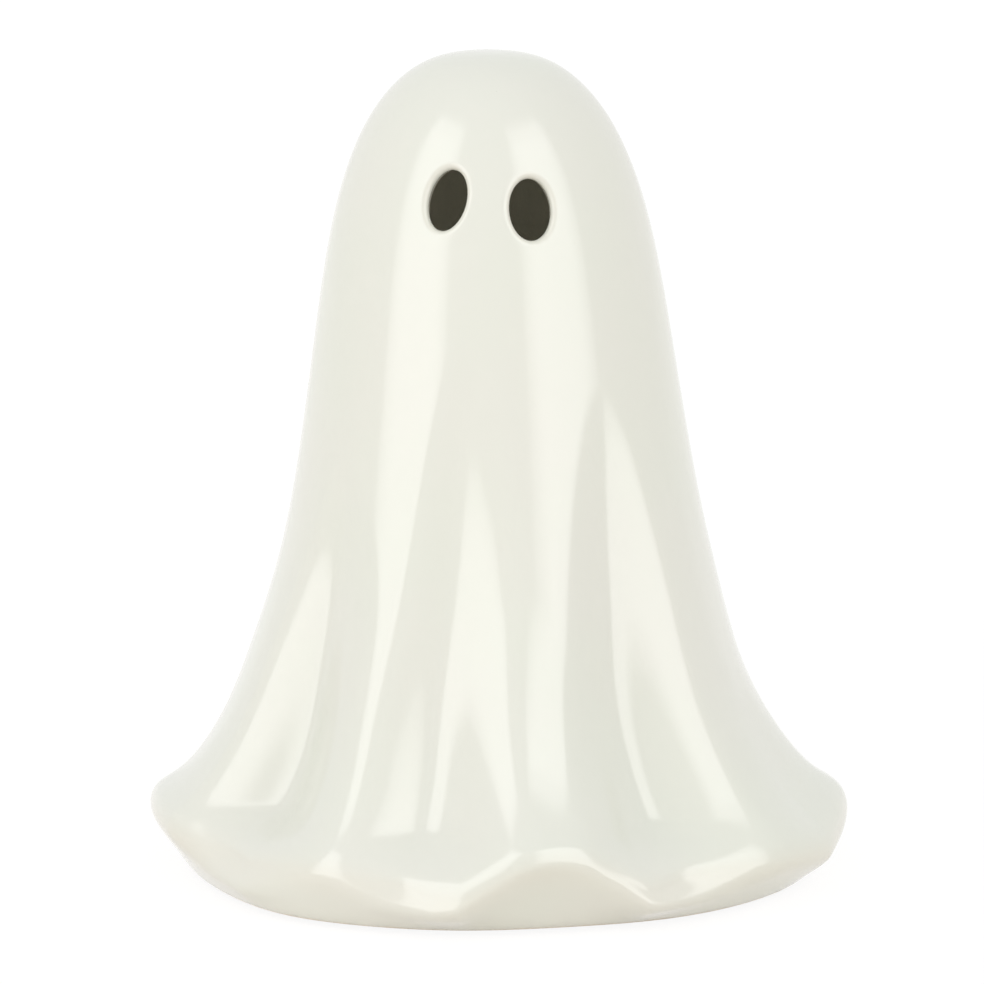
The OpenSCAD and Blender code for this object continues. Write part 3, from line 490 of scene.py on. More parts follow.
class Drape:
    """Surface of the draped body: an azimuth in degrees and a place on the meridian give a point."""

    def __init__(self, sizes):
        self.s = sizes

    def rows(self, azimuth):
        """Control points of the meridians, the first one mirrored over the crown."""
        s = self.s
        up = s.arch * np.max([
            share * np.cos(pi / 2 * np.clip(abs(turned(azimuth - at)) / wide, 0, 1)) ** ARCH_SHARPNESS
            for at, share, wide in ARCHES], axis=0)
        rise = up - LIFT_MEAN * s.arch
        reach = s.reach * abs(np.sin(np.radians(azimuth))) ** 4
        crest_r = CREST_R * s.hem + reach + s.brim * (1 - up / s.arch)
        crest_z = s.foot_z + s.hem_low + up
        foot = s.foot + s.roll * sum(
            share * np.exp(-(turned(azimuth - at) / wide) ** 2) for at, share, wide in FOOT_SWELLS)
        rows = [(s.hem * r + 0 * up, s.foot_z + s.height * z + rise * share) for r, z, share in PROFILE]
        rows.append((
            s.hem * SKIRT_R + SKIRT_REACH * reach,
            s.foot_z + s.height * SKIRT_Z + SKIRT_LIFT * rise + s.roll / 2))
        rows += [(crest_r + s.roll * r, crest_z + s.roll * z) for r, z in ROLL]
        rows.append(((foot + crest_r) / 2, (s.foot_z + crest_z - s.roll / 2) / 2))
        rows += [(foot + s.roll * r, s.foot_z + s.roll * z + 0 * up) for r, z in FOOT_EDGE]
        return np.array([(-rows[1][0], rows[1][1])] + rows)

    def meridian(self, azimuth, u):
        """Radius and height before the folds."""
        rows = self.rows(azimuth)
        i = np.minimum(u.astype(int), len(rows) - 4)
        t = u - i
        weights = ((1 - t) ** 3, 3 * t ** 3 - 6 * t * t + 4, 1 + 3 * t + 3 * t * t - 3 * t ** 3, t ** 3)
        each = np.arange(len(u))
        return sum(weight * rows[i + k, :, each].T for k, weight in enumerate(weights)) / 6

    def fold(self, azimuth, z):
        """How far the folds press the surface in."""
        s = self.s
        low = s.foot_z + s.hem_low + s.roll * 3 / 4
        depth = 0
        for hem, tip_at, tip_share, share, left, right in FOLDS:
            tip = s.foot_z + s.height * tip_share
            t = np.clip((tip - z) / (tip - low), 0, 1)
            off = turned(azimuth - tip_at - (hem - tip_at) * t)
            width = TIP_WIDTH + (np.where(off < 0, left, right) - TIP_WIDTH) * (1 - (1 - t) ** WIDTH_GROWTH)
            k = np.hypot(off / width, CREASE_SOFT) - CREASE_SOFT
            flank = np.clip(1 - k, 0, 1) ** 2 * (1 + FULLNESS * (k + k * k))
            depth = depth + share * t ** DEPTH_GROWTH * flank
        brim = s.foot_z + s.height * BRIM_Z
        out = np.clip((brim - z) / (brim - low), 0, 1)
        return s.fold * depth * (1 - (1 - BRIM_FOLD) * out * out * (3 - 2 * out))

    def lean(self, z):
        """How far the figure leans to the side at a height."""
        s = self.s
        up = z - s.foot_z
        return (-s.lean_top * np.clip((up - s.hem_low) / s.height, 0, 1) ** 1.5
                - s.lean_belly * np.exp(-((up - s.belly_z) / s.belly_span) ** 2))

    def point(self, azimuth, u, depth=0.0, step=0.01):
        """Points on the surface, or that deep under it."""
        r, z = self.meridian(azimuth, u)
        if depth:
            ahead_r, ahead_z = self.meridian(azimuth, u + step)
            long = np.hypot(ahead_r - r, ahead_z - z)
            r, z = r + depth * (ahead_z - z) / long, z - depth * (ahead_r - r) / long
        fade = np.clip(1 - (u - CREST_U) / FADE_SPAN, 0, 1)
        r = np.maximum(r - fade * fade * (3 - 2 * fade) * self.fold(azimuth, z), 0)
        a = np.radians(azimuth)
        return np.stack([r * np.sin(a) + self.lean(z), -r * np.cos(a), z], -1)


class Eye:
    """A rounded hole through the wall, and the patch of rings that leads the grid into it."""
    MARGIN, FLARE = 1.9 * MM, 0.8 * MM
    STEPS_OUT, STEPS_LIP, STEPS_WALL, STEPS_IN = 6, 7, 4, 3
    # Stretch of the meridian that the search for the eye's height takes in, and its tries
    HEAD_U, TRIES = 8, 4001

    def __init__(self, drape, azimuth, height, width, length, roll, lip):
        self.drape, self.azimuth, self.half, self.lip = drape, azimuth, (width / 2, length / 2), lip
        self.roll = (cos(roll), sin(roll))
        tries, step = np.linspace(0, self.HEAD_U, self.TRIES), 0.01
        z = drape.meridian(np.full(self.TRIES, azimuth), tries)[1]
        self.u = float(np.interp(-(drape.s.foot_z + height), -z, tries))
        (r0, r1), (z0, z1) = drape.meridian(np.full(2, azimuth), np.array([self.u, self.u + step]))
        self.reach, self.per_u = r0, sqrt((r1 - r0) ** 2 + (z1 - z0) ** 2) / step
        a, up = radians(azimuth), atan2(r1 - r0, z0 - z1)
        self.centre = np.array([r0 * sin(a) + drape.lean(z0), -r0 * cos(a), z0])
        self.out = np.array([cos(up) * sin(a), -cos(up) * cos(a), sin(up)])
        self.right = np.array([cos(a), sin(a), 0])
        self.up = np.cross(self.out, self.right)

    def spot(self, x, y, depth=0.0):
        """The surface's points that lie at x and y before the eye's plane, found by steps."""
        a, u = self.azimuth + np.degrees(x / self.reach), self.u - y / self.per_u
        da, du, rounds = 0.01, 0.001, 8
        for _ in range(rounds):
            here = self.drape.point(a, u, depth)
            by_a = (self.drape.point(a + da, u, depth) - here) / da
            by_u = (self.drape.point(a, u + du, depth) - here) / du
            off_x, off_y = (here - self.centre) @ self.right - x, (here - self.centre) @ self.up - y
            xa, xu, ya, yu = by_a @ self.right, by_u @ self.right, by_a @ self.up, by_u @ self.up
            whole = xa * yu - xu * ya
            a = a - (off_x * yu - off_y * xu) / whole
            u = u - (xa * off_y - ya * off_x) / whole
        return self.drape.point(a, u, depth)

    def oval(self, angles, grow):
        """The eye's outline, widened."""
        x, y = (self.half[0] + grow) * np.cos(angles), (self.half[1] + grow) * np.sin(angles)
        c, s = self.roll
        return x * c - y * s, x * s + y * c

    def reach_in(self):
        """Half the azimuth and half the stretch of meridian that the patch covers."""
        wide, long = (half + self.lip + self.MARGIN for half in self.half)
        return np.degrees(wide / self.reach), long / self.per_u

    def plan(self, points):
        """Where points lie before the eye's plane."""
        return (points - self.centre) @ self.right, (points - self.centre) @ self.up

    def rings(self, border, inner_border, wall):
        """Rings from the border of the patch over the lip and through the wall to the cavity's border."""
        x, y = self.plan(border)
        c, s = self.roll
        wide, long = (half + self.lip for half in self.half)
        angles = np.arctan2((y * c - x * s) / long, (x * c + y * s) / wide)
        rings = []
        rim_x, rim_y = self.oval(angles, self.lip)
        for k in range(1, self.STEPS_OUT):
            t = k / self.STEPS_OUT
            rings.append((self.spot(x + (rim_x - x) * t, y + (rim_y - y) * t), 0, 0))
        for k in range(self.STEPS_LIP + 1):
            turn = pi / 2 * k / self.STEPS_LIP
            ring = self.spot(*self.oval(angles, self.lip * (1 - sin(turn))))
            rings.append((ring - self.out * self.lip * (1 - cos(turn)), sin(2 * turn), 0))
        front = rings[-1][0]
        back = self.spot(*self.oval(angles, self.FLARE), wall)
        # The glaze runs half way through the wall
        for k in range(1, self.STEPS_WALL + 1):
            rings.append((front + (back - front) * k / self.STEPS_WALL, 0, int(2 * k > self.STEPS_WALL)))
        many = np.empty_like(border)
        many[::2] = inner_border
        many[1::2] = (inner_border + np.roll(inner_border, -1, 0)) / 2
        x, y = self.plan(back)
        far_x, far_y = self.plan(many)
        for k in range(1, self.STEPS_IN):
            t = k / self.STEPS_IN
            rings.append((self.spot(x + (far_x - x) * t, y + (far_y - y) * t, wall), 0, 1))
        return rings


def around(i0, i1, j0, j1, step):
    """Rows and columns along the border of a block of the grid."""
    return ([(i0, j) for j in range(j0, j1, step)] + [(i, j1) for i in range(i0, i1, step)]
            + [(i1, j) for j in range(j1, j0, -step)] + [(i, j0) for i in range(i1, i0, -step)])


def glazed_body(s, e):
    """Closed skin of the body: outside, foot, floor, cavity and both eyes; and where its glaze is thin."""
    drape, shape = Drape(s), Shape()
    azimuths = -180 + 360 * np.arange(AROUND) / AROUND
    u = np.concatenate([np.linspace(a, b, n, endpoint=False) for a, b, n in ROW_SPANS] + [[FOOT_U]])[1:]
    outside = [drape.point(azimuths, np.full(AROUND, v)) for v in u]
    inside_rows = [i for i in range(1, len(u), 2) if u[i] <= CAVITY_U]
    inside = [drape.point(azimuths[::2], np.full(AROUND // 2, u[i]), s.wall) for i in inside_rows]
    eyes = [
        Eye(drape, np.degrees(e.left_turn), e.left_height, e.left_width, e.length, e.left_roll, e.lip),
        Eye(drape, np.degrees(e.right_turn), e.right_height, e.right_width, e.length, e.right_roll, e.lip)]
    blocks = []
    for eye in eyes:
        wide, long = eye.reach_in()
        columns = [(eye.azimuth + way * wide + 180) / 360 * AROUND for way in (-1, 1)]
        rows = [float(np.interp(eye.u + way * long, u, np.arange(len(u)))) for way in (-1, 1)]
        blocks.append([2 * round(row / 2) + 1 for row in rows] + [2 * round(n / 2) for n in columns])

    def grid(rings, rows, columns, finish):
        """Stitches the rows, and leaves out the cells of the blocks."""
        count = len(rings[0])
        for m in range(len(rings) - 1):
            for n in range(count):
                if not any(i0 <= rows[m] < i1 and j0 <= columns[n] < j1 for i0, i1, j0, j1 in blocks):
                    k = (n + 1) % count
                    shape.face((rings[m][n], rings[m + 1][n], rings[m + 1][k], rings[m][k]), finish)

    crown = drape.point(np.zeros(1), np.zeros(1))
    outer = [shape.ring(points) for points in outside]
    thin = [float(np.exp(-((v - CREST_U - 0.6) / 0.9) ** 2)) for v in u for _ in azimuths]
    top = shape.ring(crown)
    grid(outer, list(range(len(u))), list(range(AROUND)), 0)
    shape.stitch(top, outer[0])

    # Underside: foot ring, hollow, seat of the flange and the opening, each edge a little rounded
    soft = 0.12 * s.wall
    floor_z = s.foot_z + s.hollow
    seat_z, top_z = floor_z + s.seat_depth, floor_z + s.floor
    steps = [
        (s.foot_hole + soft, s.foot_z), (s.foot_hole + soft / 4, s.foot_z + soft / 4),
        (s.foot_hole, s.foot_z + soft), (s.foot_hole - soft / 4, floor_z - soft / 4),
        (s.foot_hole - soft, floor_z), (s.seat + soft, floor_z), (s.seat + soft / 4, floor_z + soft / 4),
        (s.seat, floor_z + soft), (s.seat, seat_z - soft / 3), (s.seat - soft / 3, seat_z),
        (s.opening + soft, seat_z), (s.opening + soft / 4, seat_z + soft / 4),
        (s.opening, seat_z + soft), (s.opening, top_z - soft), (s.opening + soft, top_z)]
    turn = np.radians(azimuths)
    under = [
        shape.ring(np.stack([r * np.sin(turn), -r * np.cos(turn), np.full(AROUND, z)], -1)) for r, z in steps]
    shape.skin([outer[-1]] + under, 1)

    low = inside[-1] * [CAVITY_LOW, CAVITY_LOW, 0] + [0, 0, top_z]
    middle = low * [0.85, 0.85, 1]
    lift = inside[-1] * [0.25, 0.25, 0.25] + low * [0.75, 0.75, 0.75]
    inner = [shape.ring(points) for points in inside]
    base = [shape.ring(points) for points in (middle, low, lift)]
    shape.skin([under[-1]] + base + [inner[-1]], 1)
    grid(inner, inside_rows, list(range(0, AROUND, 2)), 1)
    shape.stitch(shape.ring(crown - [[0, 0, s.wall]]), inner[0], 1)

    thin += [0.0] * (len(shape.points) - len(thin))
    for eye, (i0, i1, j0, j1) in zip(eyes, blocks):
        border = [(i, j) for i, j in around(i0, i1, j0, j1, 1)]
        inner_border = [((i - 1) // 2, j // 2) for i, j in around(i0, i1, j0, j1, 2)]
        last = [outer[i][j] for i, j in border]
        for ring, on_lip, finish in eye.rings(
                np.array([outside[i][j] for i, j in border]),
                np.array([inside[m][n] for m, n in inner_border]), s.wall):
            numbers = shape.ring(ring)
            thin += [on_lip] * len(numbers)
            shape.stitch(last, numbers, finish)
            last = numbers
        shape.stitch(last, [inner[m][n] for m, n in inner_border], 1)
    return shape, thin


def white_glaze(s):
    """Glossy glaze, thin and warm on edges, wiped off the foot."""
    looks = looks_for("white_glaze")
    thin = looks.carried("thin_glaze")
    wiped = looks.along("Z") + looks.noise(3 * MM) * (0.6 * MM)
    bare = 1 - looks.step(wiped, s.foot_z + 0.7 * MM, s.foot_z + 1.1 * MM)
    colour = looks.mix(looks.step(looks.noise(38 * MM, 3), 0.35, 0.7), s.glaze, s.pooled)
    colour = looks.mix(looks.step(looks.noise(6 * MM, 4), 0.55, 0.8) * 0.25, colour, shaded(s.glaze, 1.03))
    colour = looks.mix(thin * 0.22, colour, s.clay)
    colour = looks.mix(bare, colour, s.clay)
    pits = looks.step(looks.cells(9 * MM), 0.0, 0.028) + (looks.noise(24 * MM) < 0.56)
    looks.bump(looks.noise(16 * MM, 1), 0.05 * MM)
    looks.bump(looks.noise(1.6 * MM, 1), 0.0012 * MM)
    looks.bump(looks.step(pits, 0, 1), 0.05 * MM)
    looks.bump(looks.noise(0.35 * MM, 3) * bare, 0.05 * MM)
    rough = 0.1 + looks.noise(20 * MM, 2) * 0.04 + bare * 0.6
    return looks.shade(colour, rough, IOR=1.55)


def bare_clay(s):
    """Fired clay without glaze, with faint casting marks; higher up it carries a faint painted glow, an
    emission that lights the inside of the body.
    """
    looks = looks_for("bare_clay")
    grain = looks.noise(0.5 * MM, 4)
    drip = looks.noise(4 * MM, 3, (1, 1, 0.25))
    colour = looks.mix(looks.step(drip, 0.3, 0.75), s.clay, shaded(s.clay, 0.93))
    colour = looks.mix(looks.step(grain, 0.66, 0.8) * 0.35, colour, shaded(s.clay, 0.75))
    looks.bump(drip, 0.12 * MM)
    looks.bump(grain, 0.06 * MM)
    # Painted glow: from 12 to 20 mm up, the clay starts to emit a faint light of its own
    inner = looks.step(looks.along("Z"), 12 * MM, 20 * MM)
    glow = looks.mix(inner, (0, 0, 0, 1), s.painted_inner_glow)
    return looks.shade(colour, 0.78 + grain * 0.15, Emission_Color=glow, Emission_Strength=1.0)


def moulded(name, colour, grain=0.28, rough=0.42, edge=0.3):
    """Moulded plastic with the fine texture of its tool and lighter, rubbed edges."""
    looks = looks_for(name)
    worn = looks.soften(edge * MM)
    texture = looks.noise(grain * MM, 3)
    flow = looks.noise(14 * MM, 2, (1, 1, 0.4))
    scuff = looks.step(looks.noise(2.2 * MM, 4, (1, 0.12, 1)), 0.62, 0.72)
    base = looks.mix(looks.step(flow, 0.3, 0.7), colour, shaded(colour, 0.965))
    base = looks.mix(worn * 0.35, base, shaded(colour, 1.12))
    looks.bump(texture, 0.012 * MM)
    looks.bump(flow, 0.02 * MM)
    return looks.shade(base, rough + texture * 0.12 - scuff * 0.08 - worn * 0.1)


def plated(name, colour, stretch, rough=0.26, edge=0.12):
    """Plated metal with the fine lines of rolling or turning and duller patches."""
    looks = looks_for(name)
    worn = looks.soften(edge * MM)
    lines = looks.noise(0.35 * MM, 3, stretch)
    patch = looks.step(looks.noise(2.5 * MM, 4), 0.4, 0.75)
    base = looks.mix(patch * 0.5, colour, shaded(colour, 0.82))
    base = looks.mix(worn * 0.4, base, shaded(colour, 1.15))
    looks.bump(lines, 0.006 * MM)
    return looks.shade(base, rough + lines * 0.12 + patch * 0.1, Metallic=1.0)


def pad_foam(colour):
    """Closed-cell foam, die cut."""
    looks = looks_for("pad_foam")
    cells = looks.cells(0.32 * MM)
    colour = looks.mix(looks.step(cells, 0.1, 0.7), shaded(colour, 0.82), colour)
    looks.bump(cells, 0.08 * MM)
    looks.bump(looks.noise(2 * MM, 2), 0.08 * MM)
    return looks.shade(colour, 0.85 + cells * 0.1)


def silicone(colour):
    """Cured silicone, milky and smooth."""
    looks = looks_for("silicone_glue")
    cloud = looks.noise(3 * MM, 2)
    looks.bump(cloud, 0.12 * MM)
    return looks.shade(looks.mix(cloud, colour, shaded(colour, 0.93)), 0.3 + cloud * 0.15, IOR=1.41)


def frosted(colour):
    """Thin frosted plastic that spreads the lamp's light."""
    looks = looks_for("frosted_plastic")
    frost = looks.noise(0.22 * MM, 3)
    looks.bump(frost, 0.012 * MM)
    haze = looks.mix(looks.noise(9 * MM, 2), colour, shaded(colour, 0.96))
    return looks.shade(haze, 0.5 + frost * 0.12, Transmission_Weight=0.35, IOR=1.49)


def lamp_resin():
    """Clear cast resin with a faint warm tint."""
    looks = looks_for("lamp_resin")
    wave = looks.noise(1.5 * MM, 1)
    looks.bump(wave, 0.004 * MM)
    clear = looks.mix(wave, (0.98, 0.95, 0.86, 1), (0.99, 0.97, 0.9, 1))
    return looks.shade(clear, 0.04 + wave * 0.03, Transmission_Weight=0.9, IOR=1.52)


def tinned(name="tinned_wire"):
    """Tinned wire and solder, soft in its shine."""
    looks = looks_for(name)
    cloud = looks.noise(0.5 * MM, 3)
    looks.bump(cloud, 0.01 * MM)
    base = looks.mix(cloud, (0.62, 0.62, 0.63, 1), (0.78, 0.78, 0.79, 1))
    return looks.shade(base, 0.28 + cloud * 0.2, Metallic=1.0)


def board_laminate(colour):
    """Solder mask over copper tracks, with bare edges of glass laminate."""
    looks = looks_for("board_laminate")
    worn = looks.soften(0.1 * MM)
    x, y, z = looks.along("X"), looks.along("Y"), looks.along("Z")
    low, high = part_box("circuit_board")
    tracks = ((abs(abs(y) - 2.2 * MM) < 0.5 * MM) * (abs(x) < 10 * MM)
              + (abs(abs(x) - 10 * MM) < 0.5 * MM) * (abs(y) < 7.5 * MM)
              + (abs(abs(x) - 5.1 * MM) < 0.45 * MM) * (abs(y - 4 * MM) < 2 * MM))
    track = looks.step(tracks, 0, 1)
    weave = looks.noise(0.6 * MM, 2, (1, 0.3, 1))
    edge = looks.step(abs(x), high.x - 0.3 * MM, high.x) + looks.step(abs(y), high.y - 0.3 * MM, high.y)
    face = looks.step(z, low.z, low.z + 0.2 * MM)
    base = looks.mix(track * 0.5, colour, shaded(colour, 1.9))
    base = looks.mix(weave * 0.15, base, shaded(colour, 1.4))
    base = looks.mix(looks.step(edge, 0.85, 1) * 0.8, base, (0.42, 0.36, 0.17, 1))
    looks.bump(track, 0.035 * MM)
    looks.bump(weave, 0.006 * MM)
    return looks.shade(base, 0.32 + weave * 0.08 + worn * 0.2 - face * 0.02)


def resistor_paint(low, high):
    """Beige paint with the four rings of 100 ohm and 5 percent."""
    looks = looks_for("resistor_paint")
    x = looks.along("X")
    span = high - low
    glaze = looks.noise(0.8 * MM, 2)
    base = looks.mix(glaze, (0.55, 0.42, 0.24, 1), (0.6, 0.47, 0.28, 1))
    rings = ((0.18, (0.13, 0.05, 0.02, 1)), (0.36, (0.01, 0.01, 0.01, 1)),
             (0.52, (0.13, 0.05, 0.02, 1)), (0.8, (0.6, 0.42, 0.1, 1)))
    for at, paint in rings:
        ring = 1 - looks.step(abs(x - (low + span * at)), span * 0.035, span * 0.045)
        base = looks.mix(ring, base, paint)
    looks.bump(glaze, 0.02 * MM)
    return looks.shade(base, 0.3 + glaze * 0.1)


def cell_jacket(jacket, band, low, high):
    """Shrunk film round a cell: a dark body, a coloured band and a seam."""
    looks = looks_for("cell_jacket")
    y = looks.along("Y")
    shrink = looks.noise(1.2 * MM, 2, (1, 0.08, 1))
    base = looks.mix(looks.noise(7 * MM, 2), jacket, shaded(jacket, 1.35))
    for end in (0.14, 0.86):
        at = low + (high - low) * end
        line = 1 - looks.step(abs(y - at), 0.5 * MM, 0.6 * MM)
        base = looks.mix(line, base, band)
    middle = 1 - looks.step(abs(y - (low + high) / 2), 7 * MM, 7.1 * MM)
    base = looks.mix(middle, base, band)
    looks.bump(shrink, 0.02 * MM)
    return looks.shade(base, 0.22 + shrink * 0.14, Coat_Weight=0.4)


def insulation(name, colour):
    """Soft vinyl round a wire."""
    looks = looks_for(name)
    drawn = looks.noise(0.9 * MM, 3)
    base = looks.mix(drawn, colour, shaded(colour, 1.3))
    looks.bump(drawn, 0.015 * MM)
    return looks.shade(base, 0.38 + drawn * 0.15)


def rounded(corners, bend, steps=8):
    """A path whose corners are bent round."""
    corners = [Vector(corner) for corner in corners]
    path = [corners[0]]
    for before, corner, after in zip(corners, corners[1:], corners[2:]):
        back, ahead = before - corner, after - corner
        near = min(bend, 0.49 * back.length, 0.49 * ahead.length)
        start, end = corner + back.normalized() * near, corner + ahead.normalized() * near
        for k in range(steps + 1):
            t = k / steps
            path.append((1 - t) ** 2 * start + 2 * t * (1 - t) * corner + t * t * end)
    return path + [corners[-1]]


def screw_into(shape, place, head_r, head_h, shank_r, shank_l, pitch, tip):
    """A cross-head screw that stands on its head: domed face with its recess, and a threaded shank."""
    steps, face_rings, rows_per_turn = 48, 16, 10
    arm, slot, deep = 0.62 * head_r, 0.17 * head_r, 0.55 * head_h

    def face_point(radius, k):
        x, y = circle(radius, k, steps)
        small, large = min(abs(x), abs(y)), max(abs(x), abs(y))
        cross = min(max((slot + 0.08 * large - small) / (0.3 * slot), 0), 1)
        cross *= min(max((arm - large) / (0.35 * arm), 0), 1)
        dome = 0.22 * head_h * (radius / head_r) ** 2
        return place @ Vector((x, y, dome + deep * cross))

    rings = [shape.ring([face_point(0, 0)])]
    for row in range(1, face_rings + 1):
        rings.append(shape.ring(face_point(head_r * 0.85 * row / face_rings, k) for k in range(steps)))
    edge = [(0.93, 0.24), (0.985, 0.38), (1, 0.55), (1, 0.94), (0.97, 1)]
    for radius, height in [(head_r * r, head_h * z) for r, z in edge] + [(shank_r, head_h)]:
        rings.append(shape.ring(place @ Vector((*circle(radius, k, steps), height)) for k in range(steps)))
    core, rows = 0.76 * shank_r, int(shank_l / pitch * rows_per_turn)
    for row in range(1, rows + 1):
        height = shank_l * row / rows
        ends = min(1, height / pitch, max((shank_l - height) / tip, 0))
        narrow = min(1, 0.25 + 0.75 * (shank_l - height) / tip) if shank_l - height < tip else 1
        ring = []
        for k in range(steps):
            phase = (height / pitch - k / steps) % 1
            ridge = max(0, 1 - abs(phase - 0.5) / 0.3)
            radius = (core + (shank_r - core) * ridge * ends) * narrow
            ring.append(place @ Vector((*circle(radius, k, steps), head_h + height)))
        rings.append(shape.ring(ring))
    rings.append(shape.ring([place @ Vector((0, 0, head_h + shank_l))]))
    shape.skin(rings)


class GHOST_OT_body(bpy.types.Operator):
    """Builds the glazed ceramic body with its eyes, folds and foot"""
    bl_idname = "ghost.body"
    bl_label = "Ceramic body"
    bl_options = {"REGISTER", "UNDO"}

    def execute(self, context):
        scene = context.scene
        s, e = scene.ghost_body, scene.ghost_eyes
        shape, thin = glazed_body(s, e)
        shape.piece(
            "glazed_body", FIGURE, "glaze", [white_glaze(s), bare_clay(s)], ["ghost_shell"],
            sharp=50, carried=[("thin_glaze", thin)])
        return {"FINISHED"}


class GHOST_OT_pads(bpy.types.Operator):
    """Builds the four foam pads under the foot"""
    bl_idname = "ghost.pads"
    bl_label = "Foot pads"
    bl_options = {"REGISTER", "UNDO"}

    def execute(self, context):
        unit = context.scene.ghost_unit
        low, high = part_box("foot_pads")
        r, t = unit.pad, high.z - low.z
        shape = Shape()
        outline = [
            (0, 0), (0.5, 0), (0.94, 0), (0.975, 0.08), (1, 0.3), (0.985, 0.55), (1, 0.85), (0.98, 1),
            (0.5, 1), (0, 1)]
        for x, y in four_places(low, high, r):
            shape.turn([(r * a, t * b) for a, b in outline], Matrix.Translation((x, y, low.z)))
        shape.piece("foam_pads", FIGURE, "pad_foam", [pad_foam(unit.foam)], ["foot_pads"])
        return {"FINISHED"}


class GHOST_OT_glue(bpy.types.Operator):
    """Builds the ring of glue that holds the light unit in the ceramic"""
    bl_idname = "ghost.glue"
    bl_label = "Glue"
    bl_options = {"REGISTER", "UNDO"}

    def execute(self, context):
        low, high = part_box("glue_bead")
        wide, t, steps = 3 * MM, high.z - low.z, 180
        section = [
            (0.1, 0), (0.5, 0), (0.9, 0), (1, 0.3), (1, 0.7), (0.9, 1), (0.5, 1), (0.1, 1), (0, 0.7),
            (0, 0.3)]
        shape = Shape()
        rings = []
        for across, up in section:
            ring = []
            for k in range(steps):
                a = 2 * pi * k / steps
                uneven = sin(5 * a + 1) + 0.6 * sin(11 * a) + 0.4 * sin(23 * a + 2)
                r = high.x - wide * (1 - across) + 0.35 * MM * uneven * (1 - across)
                ring.append((r * cos(a), r * sin(a), low.z + t * up))
            rings.append(shape.ring(ring))
        shape.skin(rings, closed=True)
        finish = silicone(context.scene.ghost_unit.glue)
        shape.piece("silicone_ring", FIGURE, "glue", [finish], ["glue_bead"], sharp=60)
        return {"FINISHED"}


class GHOST_OT_housing(bpy.types.Operator):
    """Finishes the tray, the cover, the battery door and the screw's keeper"""
    bl_idname = "ghost.housing"
    bl_label = "Tray, cover and door"
    bl_options = {"REGISTER", "UNDO"}

    def execute(self, context):
        unit = context.scene.ghost_unit
        refinish("base_tray", moulded("tray_plastic", unit.tray))
        refinish("unit_cover", moulded("cover_plastic", unit.cover, grain=0.5, rough=0.34))
        refinish("battery_door", moulded("door_plastic", shaded(unit.tray, 0.985), grain=0.22, rough=0.46))
        refinish("screw_keeper", moulded("keeper_plastic", unit.black, grain=0.3, rough=0.5, edge=0.08))
        return {"FINISHED"}


class GHOST_OT_screws(bpy.types.Operator):
    """Builds the four screws of the cover and the screw of the battery door"""
    bl_idname = "ghost.screws"
    bl_label = "Screws"
    bl_options = {"REGISTER", "UNDO"}

    def execute(self, context):
        steel = plated("screw_steel", context.scene.ghost_unit.steel, (1, 1, 0.2), rough=0.24, edge=0.06)
        low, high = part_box("cover_screws")
        head_r, head_h, shank_r = 2.3 * MM, 1.35 * MM, 1.25 * MM
        shank_l, pitch, tip = high.z - low.z - head_h, 0.95 * MM, 2 * MM
        shape = Shape()
        for x, y in four_places(low, high, head_r):
            # Each screw came to rest at another angle
            place = Matrix.Translation((x, y, low.z)) @ Matrix.Rotation(40 * x / MM + 7 * y / MM, 4, "Z")
            screw_into(shape, place, head_r, head_h, shank_r, shank_l, pitch, tip)
        shape.piece("cover_screw_set", FIGURE, "screw_steel", [steel], ["cover_screws"])
        low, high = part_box("door_screw")
        head_r, middle = (high.x - low.x) / 2, (low + high) / 2
        place = Matrix.Translation((middle.x, middle.y, low.z))
        shank_l, pitch, tip = high.z - low.z - head_h, 0.6 * MM, 0.8 * MM
        shape = Shape()
        screw_into(shape, place, head_r, head_h, shank_r, shank_l, pitch, tip)
        shape.piece("door_lock_screw", SCREW, "screw_steel", [steel], ["door_screw"])
        return {"FINISHED"}


